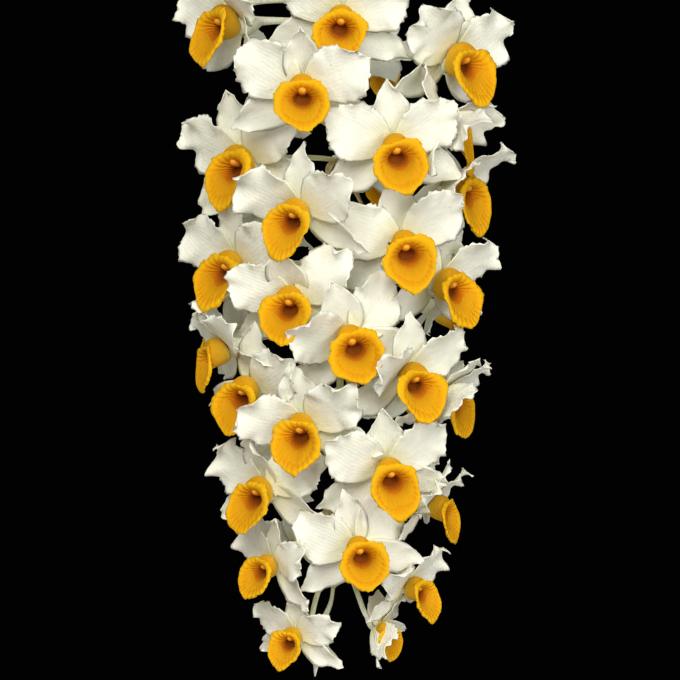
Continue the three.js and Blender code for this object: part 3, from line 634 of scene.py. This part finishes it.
# The lips of chosen blooms: hollow shells of rings set at an ellipse's corners by the lip's rows. Towards
# the rim a ring is egg-shaped, pointed below and notched above, crimped in waves and fringed at random.
def lipSkin(blooms, chosen):
    sides = lip["sides"]
    turn = (np.pi - turnsOf(sides))[None, None]
    ways = np.linspace(0, 1, 16) ** 0.85, np.linspace(0, 1, 17)
    rows = np.vstack([rowsThrough(lip[key], way) for key, way in zip(("out", "in"), ways)])
    top, bottom, half, zTop, zBottom = rows.T[:, None, :, None]
    s = np.concatenate([ways[0], 1 - ways[1]])[None, :, None]
    draw = np.random.default_rng(lip["seed"])
    dice = draw.random((len(placings), 5, 1, 1))[chosen]
    hair = draw.random((len(placings), 1, sides))[chosen]
    start = circle * dice
    crimp = 0.32 * np.sin(5 * turn + start[:, 0]) + 0.18 * np.sin(11 * turn + start[:, 1])
    crimp = crimp + 0.45 * np.sin(2 * turn + start[:, 3]) + 0.3 * np.sin(3 * turn + start[:, 4])
    crimp = crimp * s**5 + (s > 0.96) * (hair - 0.5) * 0.6
    x = half * np.sin(turn) * (1 + lip["egg"] * np.cos(turn) * s**3)
    y = (top + bottom) / 2 + (top - bottom) / 2 * np.cos(turn)
    point, notch = (np.exp(-(a / 0.45) ** 2) for a in (np.abs(turn) - np.pi, turn))
    y = y + crimp * np.cos(turn) - s**4 * (lip["point"] * point + lip["notch"] * notch)
    x = x + crimp * np.sin(turn)
    z = mix(zTop, zBottom, (1 - np.cos(turn)) / 2) + 0.5 * np.sin(4 * turn + start[:, 2]) * s**6
    rings = np.stack(np.broadcast_arrays(x, y, z), -1) * lip["size"]
    way = np.concatenate([ways[0] * 0.5, 0.5 + ways[1] * 0.5])[None, :, None]
    return tubeSkin(intoPlant(blooms, chosen, rings), along=way + 0 * turn + 0 * dice[:, 0],
                    round=np.abs(turn) + 0 * way + dice[:, 2])


# Behind a bloom: hub, chin, ovary and pedicel as one tube, whose line bends from the bloom's back to the
# stalk by a cubic with four control points. Lower pedicels leave the stalk higher, so their blooms hang.
# Front points and necks go from hub to ovary; back gives how far behind the bloom the cubic ends.
pedicel = {"front": [[0, 0, 0.6], [0, -0.2, -0.8], [0, -0.8, -2.6], [0, -1.0, -4.4], [0, -0.4, -6.6]],
           "necks": [1.8, 3.0, 3.4, 2.9, 2.1], "back": (13, 8.5), "shoulder": 10, "sides": 12,
           "hangBy": 20, "hangFrom": 330, "hangOver": 300}


def pedicelSkin(blooms):
    middle, facing, out, size, basis = (blooms[k] for k in ("middle", "facing", "out", "size", "basis"))
    order = np.arange(1, len(middle) + 1)
    hang = 1 + pedicel["hangBy"] * np.clip((blooms["down"] - pedicel["hangFrom"]) / pedicel["hangOver"], 0, 1)
    height = np.maximum(stalkFoot + 2, middle[:, 2] + hang + around(order, 9, 1.5))
    bow = raceme["bow"] * np.clip((raceme["bowFrom"] - height) / (raceme["bowFrom"] - stalkFoot), 0, 1)
    root = np.stack([raceme["x"] - bow, 0 * height, height], -1)
    sink = np.stack([0 * hang, 0 * hang, np.where(hang > 12, -6, 1.5)], -1)
    shoulder = root + pedicel["shoulder"] * out + sink
    far, near = (middle - facing * (d * size)[:, None] for d in pedicel["back"])
    t = np.linspace(1, 0, 16)[None, :, None]
    line = root[:, None] * (1 - t) ** 3 + shoulder[:, None] * 3 * (1 - t) ** 2 * t
    line = line + far[:, None] * 3 * (1 - t) * t**2 + near[:, None] * t**3
    head = np.array(pedicel["front"]) @ basis.transpose(0, 2, 1) + middle[:, None]
    path = np.concatenate([head, line], 1)
    neck = np.array(pedicel["necks"])[None] * size[:, None]
    stem = mix(raceme["pedicel"], raceme["ovary"] * size[:, None], t[..., 0] ** 2)
    rings = ringsAlong(path, np.concatenate([neck, stem], 1), pedicel["sides"], basis[:, :, 0])
    way = np.concatenate([np.zeros((1, 5)), 1 - t[..., 0]], 1)[..., None]
    return tubeSkin(rings, along=way + np.zeros((len(middle), 1, pedicel["sides"]))), root


# A half-open bud hangs from the stalk's end behind the lowest bloom: its stem, and three narrow tepals.
# Places are across and down in the square view, then a radius.
bud = [[(334, 580, 0.6), (331, 602, 0.6), (325, 617, 0.8), (321, 630, 1.3), (319, 641, 1.4)],
       [(319, 634, 1.1), (317, 650, 1.5), (316, 664, 1.1), (315, 676, 0.2)],
       [(320, 638, 0.9), (326, 648, 1.2), (334, 656, 1.0), (341, 663, 0.4)],
       [(321, 630, 0.8), (325, 634, 1.0), (328, 640, 0.9), (327, 644, 0.4)]]


def budSkins():
    skins = []
    for i, rows in enumerate(bud):
        across, down, radius = np.array(rows, float).T
        x, z = ((place - picture["middle"]) * picture["step"] for place in (across, down))
        points = np.stack([raceme["x"] + x, -1.5 * i + 0 * x, raceme["z"] - z], -1)
        t = np.linspace(0, 1, 14)
        radii = np.interp(t, np.linspace(0, 1, len(rows)), radius)
        skins.append(tubeAlong(points, t, radii[None], 10, along=0.6 - 0.6 * t[None, :, None]))
    return skins


# The column: a short blunt rod in the roof of the lip's throat.
column = {"radius": 1.6, "length": 7.2, "rows": 9, "sides": 10}


def columnSkin(blooms):
    way = np.linspace(0, 1, column["rows"])[:, None]
    turn = (np.pi - turnsOf(column["sides"]))[None]
    radius = column["radius"] * np.sqrt(np.clip(1 - (way * 0.98) ** 5, 0, 1)) * (1 + 0.15 * np.cos(turn))
    rings = np.stack([radius * np.sin(turn), radius * np.cos(turn) - 0.1 + 0.6 * way,
                      0.6 + column["length"] * way + 0 * turn], -1)
    every = np.arange(len(placings))
    grid = intoPlant(blooms, every, np.broadcast_to(rings, (len(every),) + rings.shape).copy())
    return tubeSkin(grid, along=way + 0 * turn)


# The stalk: a tube along a smooth line, thinner towards its end by the square of the way, with fine ridges.
stalkLine = [(111, 1, 512), (124, 1, 513), (152, 0, 520), (180, 0, 513), (196, 0, 492), (200, 0, 468),
             (201, 0, 430), (199.5, 0, 385), (raceme["x"], 0, raceme["bowFrom"]),
             (raceme["x"] - raceme["bow"], 0, stalkFoot)]


def stalkSkin():
    t = np.linspace(0, 1, 140)
    ridge = 1 + 0.06 * np.cos(np.arange(16) * np.pi / 4)
    radii = mix(raceme["stalk"], raceme["stalkEnd"], t**2)[:, None] * ridge
    return tubeAlong(stalkLine, t, radii[None], 16, along=t[None, :, None])


# A dry bract under each pedicel: a small pointed blade that leans out and down from the stalk.
def bractSkin(roots, out):
    order = np.arange(len(roots))
    rows, cols = 9, 5
    u, v = np.linspace(0, 1, rows)[:, None], np.linspace(-1, 1, cols)[None]
    ahead = unit(out - skyward * (0.2 + 0.9 * chance(order, 3))[:, None])
    side = unit(np.cross(ahead, skyward))
    up = np.cross(side, ahead)
    long = (5.5 + 3.5 * chance(order, 4))[:, None, None, None]
    half = 2.1 * np.sin(np.pi * (0.12 + 0.85 * u) ** 0.8)
    curl = 1.1 * np.sin(3.2 * u + 1) + 0.9 * v * v
    base = roots[:, None, None] + out[:, None, None] * 0.8 - np.array([0, 0, 1.4])
    grid = base + ahead[:, None, None] * long * u[None, ..., None]
    grid = grid + side[:, None, None] * (half * v)[None, ..., None]
    grid = grid + up[:, None, None] * curl[None, ..., None]
    return bladeSkin(grid, 0.25, along=u + 0 * v)


def makeRaceme():
    blooms = placeBlooms()
    settleTepals(blooms)
    petalLook, lipLook = petalFinish(), lipFinish()
    high = np.argsort(-blooms["middle"][:, 2])
    for name, group in zip(("upper", "lower"), np.split(high, 2)):
        chosen = np.sort(group)
        nodes = [f"lip_{i + 1:02d}" for i in chosen]
        makePiece(f"tepals_{name}", tepalSkins(blooms, chosen), petalLook, ["raceme"])
        makePiece(f"lips_{name}", [lipSkin(blooms, chosen)], lipLook, nodes)
    pedicels, roots = pedicelSkin(blooms)
    cream = stalkFinish("pedicel cream", "F4F3E2", "E4E6B4", "B9C47C")
    makePiece("pedicels", [pedicels, *budSkins()], cream, ["raceme"])
    # The column is yellow towards its tip; its darker brown foot, deep in the lip's throat, is painted shade.
    yellow = stalkFinish("column yellow", "B06A10", "F2A826", "D88410")
    makePiece("columns", [columnSkin(blooms)], yellow, ["raceme"])
    green = stalkFinish("stalk green", "7C9A3C", "D2D8A0", "7E9640")
    makePiece("rachis", [stalkSkin()], green, ["raceme"])
    makePiece("bracts", [bractSkin(roots, blooms["out"])], paperFinish(), ["raceme"])


# Canes with their leaves. A cane is a club that is thickest above its middle, swells at each joint, and
# has fine ridges along it; rest is the part of a joint's length above the last joint. A leaf: how far up it
# grows, its turn, rise, length and droop. A leaf as long as usual has the full width.
caneShape = {"internode": 50, "rest": 0.35, "waist": 0.35, "swell": 0.12, "foot": 0.62, "tip": 0.5,
             "sides": 36, "ridges": 9, "rings": 190, "groove": 0.07}
leafShape = {"width": 40, "usual": 130, "thick": 1.1, "fold": 0.16, "neck": 0.22, "wave": 1.3, "midrib": 0.7,
             "rows": 44, "cols": 15}
sheath = {"rows": 12, "cols": 30, "share": 0.62, "wrap": 1.72, "off": 0.35, "flare": 0.9, "thick": 0.3}
canes = {
    "flowering": {
        "line": [(20, 0, 84), (26, 2, 210), (42, 3, 350), (78, 2, 465), (128, 0, 532)], "girth": 6.4,
        "leaves": [(0.86, -112, 34, 122, 62), (0.915, 84, 36, 128, 66), (1, -24, 50, 118, 74)]},
    "left": {
        "line": [(-24, 8, 84), (-34, 11, 220), (-56, 16, 360), (-92, 22, 470)], "girth": 6.6,
        "leaves": [(0.84, 118, 30, 128, 66), (0.9, -112, 34, 136, 70), (0.955, 150, 40, 130, 70),
                   (1, -150, 54, 120, 60)]},
    "front": {
        "line": [(0, -26, 84), (-8, -38, 210), (-24, -58, 330), (-44, -84, 430)], "girth": 6.4,
        "leaves": [(0.84, -20, 32, 112, 70), (0.9, 160, 34, 132, 66), (0.955, -62, 40, 128, 72),
                   (1, -140, 56, 118, 62)]},
    "back": {
        "line": [(2, 27, 84), (0, 44, 210), (-8, 68, 350), (-16, 100, 462)], "girth": 6.2,
        "leaves": [(0.84, 176, 30, 126, 64), (0.9, 20, 50, 112, 62), (0.955, 120, 36, 132, 72),
                   (1, 74, 56, 120, 60)]},
    "young": {
        "line": [(26, -24, 84), (32, -34, 150), (34, -46, 225), (32, -60, 290)], "girth": 5.2,
        "leaves": [(0.7, -150, 40, 86, 60), (0.84, -60, 48, 92, 60), (1, -110, 66, 84, 40)]},
    "old": {
        "line": [(-40, -16, 84), (-52, -24, 170), (-66, -34, 250), (-84, -44, 316)], "girth": 6.8,
        "leaves": []},
}


# How many joints a cane has: its length, as many short straight steps, by the length of one joint.
def jointsOf(plan):
    steps = np.diff(lineThrough(plan["line"], np.linspace(0, 1, 400)), axis=0)
    return round(np.linalg.norm(steps, axis=1).sum() / caneShape["internode"])


# A cane's radius at shares of its length: an arch, drawn in over the last part, times the swell of its
# joints. Also how far each place is from a joint.
def caneRadius(plan, t):
    place = t * (jointsOf(plan) + caneShape["rest"])
    waist = caneShape["waist"]
    part = place - np.floor(place)
    body = caneShape["foot"] + (1 - caneShape["foot"]) * np.sin(np.pi * (t * 0.78 + 0.08)) ** 0.8
    taper = 1 - np.clip((t - 0.82) / 0.18, 0, 1) * (1 - caneShape["tip"])
    swell = 1 + caneShape["swell"] * np.where(part < waist, 1 - part / waist, (part - waist) / (1 - waist))
    return plan["girth"] * body * taper * swell, np.minimum(part, 1 - part)


# A cane's tube: its radius times ridges that fade at the joints, with a groove at each joint. A leafless
# cane is shrunk, with deeper ridges.
def caneSkin(plan):
    t = np.linspace(0, 1, caneShape["rings"])
    radius, joint = caneRadius(plan, t)
    shrunk = 0.035 if plan["leaves"] else 0.09
    wave = np.cos(caneShape["ridges"] * turnsOf(caneShape["sides"]) + 0.6 * np.sin(9 * t[:, None]))
    ridge = 1 + shrunk * wave * smooth(0, 0.12, joint)[:, None]
    groove = 1 - caneShape["groove"] * np.exp(-(joint / 0.02) ** 2)
    radii = (radius * groove)[None, :, None] * ridge[None]
    return tubeAlong(plan["line"], t, radii, caneShape["sides"], along=t[None, :, None],
                     joint=joint[None, :, None])


# Dry sheaths round a cane's lower joints: a blade rolled most of the way round, with a torn upper edge.
def sheathSkins(plan, seed):
    joints, rows, cols = jointsOf(plan), sheath["rows"], sheath["cols"]
    grids = []
    for j in range(1, max(2, int(joints * sheath["share"]))):
        draw = np.random.default_rng(seed * 20 + j)
        top = 0.5 + 0.35 * draw.random() - 0.3 * draw.random(cols)[None]
        t = (j + np.linspace(0, 1, rows)[:, None] * top) / (joints + caneShape["rest"])
        turn = np.linspace(0, sheath["wrap"] * np.pi, cols)[None] + circle * draw.random()
        radius, _ = caneRadius(plan, t)
        before, path, after = (lineThrough(plan["line"], np.clip(t + step, 0, 1))
                               for step in (-0.01, 0, 0.01))
        ahead = unit(after - before)
        side = unit(np.cross(ahead, np.array([0.3, 1.0, 0])))
        up = np.cross(ahead, side)
        flare = sheath["flare"] * np.linspace(0, 1, rows)[:, None] ** 3 * (0.4 + draw.random(cols)[None])
        off = (radius + sheath["off"] + flare)[..., None]
        grids.append(path + off * (side * np.cos(turn)[..., None] + up * np.sin(turn)[..., None]))
    grid = np.flip(np.stack(grids), 2)
    return [bladeSkin(grid, sheath["thick"], along=np.linspace(0, 1, rows)[:, None] + np.zeros((1, cols)))]


# A leaf's middle line is an arc; its half width is a sine arch with its peak towards the root. It is
# folded a little along its midrib, and gently waved at its edges.
def leafSkins(plan, seed):
    u = np.linspace(0, 1, leafShape["rows"])[:, None] ** 0.9
    v = np.linspace(-1, 1, leafShape["cols"])[None]
    grids = []
    for k, (place, turn, rise, length, droop) in enumerate(plan["leaves"]):
        root = lineThrough(plan["line"], [place])[0]
        level = np.array([*wayOf(turn), 0])
        across = np.array([-level[1], level[0], 0])
        start, curl = math.radians(rise), -math.radians(droop)
        along = length / curl * (np.sin(start + curl * u) - math.sin(start))
        up = -length / curl * (np.cos(start + curl * u) - math.cos(start))
        arch = np.clip(np.sin(np.pi * np.clip(u, 0, 0.997) ** 0.82), 0, 1) ** 0.75
        share = np.minimum(1, leafShape["neck"] * (1 - u) ** 2 + arch)
        half = leafShape["width"] * length / leafShape["usual"] / 2 * share
        wave = leafShape["wave"] * np.sin(5.5 * u + seed + 2 * k) * v * np.abs(v)
        wave = wave - leafShape["midrib"] * np.exp(-(v / 0.1) ** 2) * smooth(0, 0.1, u)
        height = up + leafShape["fold"] * half * np.abs(v) ** 1.3 + wave * smooth(0, 0.3, u)
        grids.append(root + level * along[..., None] + across * (v * half)[..., None]
                     + skyward * height[..., None])
    return [bladeSkin(np.stack(grids), leafShape["thick"], along=u + 0 * v, across=v + 0 * u)]


def caneFinish(name, top, low):
    f = Finish(name, Specular_IOR_Level=0.4)
    along, joint = f.value("along"), f.value("joint")
    streaks = f.noise(2.5, 4, (1, 1, 0.1))
    body = f.blend(along.span(0.02, 0.5), low, top)
    streaked = f.blend(streaks.span(0.4, 0.75) * 0.45, body, "B9B86A")
    spotted = f.blend(f.noise(9, 5, rough=0.7).span(0.58, 0.72) * 0.55, streaked, "7A6238")
    banded = f.blend((1 - joint.span(0.01, 0.05)) * 0.8, spotted, "8E7A4C")
    return f.wear(banded, 0.4 + streaks * 0.3, streaks, 0.35, 0.0006)


def leafFinish():
    f = Finish("leaf green", Specular_IOR_Level=0.45, Coat_Weight=0.12, Coat_Roughness=0.3)
    along, across = f.value("along"), f.value("across")
    veins = (across * 62).sine()
    midrib = 1 - across.size().span(0.02, 0.07)
    cloud = f.noise(22, 3)
    green = f.blend(cloud.span(0.35, 0.7), "3F6B25", "5C8A33")
    young = f.blend((1 - along.span(0.02, 0.3)) * 0.5, green, "8DA851")
    veined = f.blend(veins.span(0.1, 1) * 0.22, young, "7BA04A")
    ribbed = f.blend(midrib * 0.6, veined, "A3BC66")
    tipped = f.blend(along.span(0.955, 1) * 0.8, ribbed, "8A7038")
    return f.wear(tipped, 0.34 + f.noise(4, 3) * 0.2, veins * 0.4 + cloud, 0.25, 0.0005)


def makeCanes():
    leafLook, sheathLook = leafFinish(), paperFinish()
    young, old = caneFinish("cane green", "93A144", "A49A55"), caneFinish("cane old", "9A8A4E", "8A7A50")
    for order, (name, plan) in enumerate(canes.items()):
        nodes = [f"cane_{name}"]
        makePiece(f"{name}_cane", [caneSkin(plan)], young if plan["leaves"] else old, nodes)
        makePiece(f"{name}_sheaths", sheathSkins(plan, order), sheathLook)
        if plan["leaves"]:
            makePiece(f"{name}_leaves", leafSkins(plan, order), leafLook, nodes)


# The pot is turned: its wall's profile, from the middle of its base out, up, over the rim and down inside.
pot = {"height": 122, "wall": 5, "floor": 8, "base": 49, "top": 70, "rimHeight": 20, "rimOut": 5,
       "sides": 144}
drain = {"count": 3, "radius": 5.5, "ring": 28}
bark = {"top": 100, "chips": 260, "spread": 51, "clear": 12.5, "golden": 2.39996, "rows": 7, "sides": 12,
        "seed": 3}


def wallAt(z):
    return mix(pot["base"], pot["top"], z / pot["height"])


# A closed skin over level rings: radii and heights by ring, at the turns round it.
def drumSkin(r, z, turn):
    return tubeSkin(np.stack(np.broadcast_arrays(r * np.cos(turn), r * np.sin(turn), z), -1)[None])


# The profile, turned, with faint throwing rings on its wall.
def potSkin():
    low, rim, high = 1.6, pot["height"] - pot["rimHeight"], pot["height"]
    side = [(wallAt(z), z) for z in np.linspace(4, rim - 1.2, 22)]
    edge = pot["top"] + pot["rimOut"]
    ledge = wallAt(rim) + pot["rimOut"]
    band = [(wallAt(rim), rim - 0.3), (ledge - 1.2, rim), (ledge, rim + 1.2)]
    over = [(edge - 0.3, high - 2.4), (edge - 0.8, high - 0.9), (edge - 2, high - 0.1), (edge - 5, high),
            (edge - 8, high - 0.3), (pot["top"] - pot["wall"] + 0.6, high - 1.2)]
    inside = [(wallAt(z) - pot["wall"], z) for z in np.linspace(high - 3, pot["floor"] + 3, 12)]
    foot = [(pot["base"] * a, 0) for a in (0.2, 0.4, 0.6, 0.8, 0.93)]
    foot = foot + [(pot["base"] - 0.5, 0.35), (pot["base"] + 0.1, low)]
    floor = [(pot["base"] - pot["wall"] - a, pot["floor"]) for a in (0.5, 4, 14, 30)]
    r, z = np.array(foot + side + band + over + inside + floor).T
    r, z = r[:, None], z[:, None]
    turn = turnsOf(pot["sides"])
    thrown = 0.12 * np.sin(z * 1.1 + 0.4 * np.sin(turn)) * (r > 44) * (z > 2)
    return drumSkin(r + thrown, z, turn)


# Straight rods through the pot's floor, which its holes are cut by.
def drainSkin():
    turn = turnsOf(drain["count"])
    middle = np.stack([drain["ring"] * np.cos(turn), drain["ring"] * np.sin(turn), 0 * turn], -1)
    path = middle[:, None] + skyward * np.array([-12, 0, 12])[None, :, None]
    radii = np.full((drain["count"], 3), drain["radius"])
    return tubeSkin(ringsAlong(path, radii, 40, np.tile([1.0, 0, 0], (drain["count"], 1))))


def clayFinish():
    f = Finish("fired clay", Specular_IOR_Level=0.25)
    height = f.node("ShaderNodeSeparateXYZ", sockets={"Vector": f.place()}, output="Z")
    cloud, grit = f.noise(26, 4), f.noise(0.9, 3)
    clay = f.blend(cloud.span(0.3, 0.7), "A85C38", "C07850")
    dusty = f.blend(grit.span(0.55, 0.8) * 0.3, clay, "D9A27C")
    limed = f.blend((1 - (height + (cloud - 0.5) * 0.05).span(0, 0.04)) * 0.5, dusty, "D8C9B8")
    band = (height + (cloud - 0.5) * 0.03).span(0.02, 0.06) * (1 - height.span(0.08, 0.1))
    damp = f.blend(band * 0.25, limed,
                   "7E4228")
    return f.wear(damp, 0.78 + grit * 0.2, grit + cloud * 0.6, 0.35, 0.0007)


def barkFinish():
    f = Finish("bark", Specular_IOR_Level=0.2)
    grain, cloud = f.noise(2.4, 5, (1, 1, 2.5), 0.65), f.noise(14, 3)
    brown = f.blend(cloud.span(0.3, 0.7), "5E3B22", "8F6238")
    flecked = f.blend(grain.span(0.5, 0.75) * 0.6, brown, "B98A58")
    dark = f.blend((1 - grain.span(0.25, 0.45)) * 0.6, flecked, "38210F")
    return f.wear(dark, 0.8 + grain * 0.15, grain, 0.7, 0.0012)


# Chips of bark: short blocks whose section is a rounded box, narrowed at both ends, laid by the golden
# angle with random turns, and pushed clear of the canes.
def chipSkin():
    draw = np.random.default_rng(bark["seed"])
    count, rows, sides = bark["chips"], bark["rows"], bark["sides"]
    order = np.arange(count)
    reach, turn = bark["spread"] * np.sqrt((order + 0.5) / count), order * bark["golden"]
    at = np.stack([reach * np.cos(turn), reach * np.sin(turn)], -1)
    for plan in canes.values():
        foot = lineThrough(plan["line"], [0.045])[0][:2]
        gap = at - foot
        far = np.linalg.norm(gap, axis=1, keepdims=True)
        at = np.where(far < bark["clear"], foot + unit(gap) * bark["clear"], at)
    middle = np.column_stack([at, bark["top"] - 3 + 6.5 * draw.random(count)])
    yaw, pitch = circle * draw.random(count), 0.6 * (draw.random(count) - 0.5)
    yaw = np.where(reach > 38, turn + np.pi / 2 + 0.5 * (draw.random(count) - 0.5), yaw)
    way = np.stack([np.cos(yaw) * np.cos(pitch), np.sin(yaw) * np.cos(pitch), np.sin(pitch)], -1)
    long, wide, thick = (least + more * draw.random(count) for least, more in ((6, 5.5), (4, 3), (2, 1.8)))
    step = np.sin(np.linspace(-1, 1, rows) * 1.5) / np.sin(1.5)
    path = middle[:, None] + way[:, None] * (step * long[:, None])[..., None]
    corner = turnsOf(sides)
    box = (np.abs(np.cos(corner) / wide[:, None]) ** 5 + np.abs(np.sin(corner) / thick[:, None]) ** 5) ** -0.2
    ends = (1 - np.abs(step * 0.97) ** 6)[None, :, None] ** 0.35
    rough = 1 + 0.22 * (draw.random((count, rows, sides)) - 0.5)
    level = unit(np.cross(way, skyward) + 0.5 * (draw.random((count, 3)) - 0.5))
    return tubeSkin(ringsAlong(path, box[:, None] * ends * rough, sides, level))


# The bed that the chips lie on: a drum that fills the pot up to just under them.
def bedSkin():
    z = np.array([8.6, 8.6, 40, 70, 95, 97, 97.6, 98])
    r = np.array([20, *(wallAt(z[1:6]) - np.array([6, 6, 6, 6, 8])), 40, 16])
    return drumSkin(r[:, None], z[:, None], turnsOf(64))


def makePot():
    turned = makePiece("terracotta_pot", [potSkin()], clayFinish(), ["pot"])
    rods = makePiece("drain_rods", [drainSkin()], turned.active_material)
    cut = turned.modifiers.new("holes", "BOOLEAN")
    cut.object, cut.operation, cut.solver = rods, "DIFFERENCE", "EXACT"
    holed = bpy.data.meshes.new_from_object(turned.evaluated_get(bpy.context.evaluated_depsgraph_get()))
    turned.modifiers.remove(cut)
    turned.data = holed
    bpy.data.objects.remove(rods)
    makePiece("bark_chips", [chipSkin(), bedSkin()], barkFinish(), ["potting_bark"],
              smoothFaces=False)


# A pale round floor under the pot.
def makeFloor():
    turn = turnsOf(room["floorSides"])
    ring = np.stack([np.cos(turn), np.sin(turn), 0 * turn], -1) * room["floorReach"] - skyward * 0.0004
    mesh = bpy.data.meshes.new("floor")
    mesh.from_pydata(ring.tolist(), [], [list(range(room["floorSides"]))])
    f = Finish("floor pale", Roughness=0.8, Specular_IOR_Level=0.2, Base_Color=room["floorColour"])
    mesh.materials.append(f.material)
    floor = addObject("floor", mesh)


makeCamera()
makeLight()
makeFloor()
makeRaceme()
print("raceme made")
makeCanes()
print("canes made")
makePot()
print("pot made")
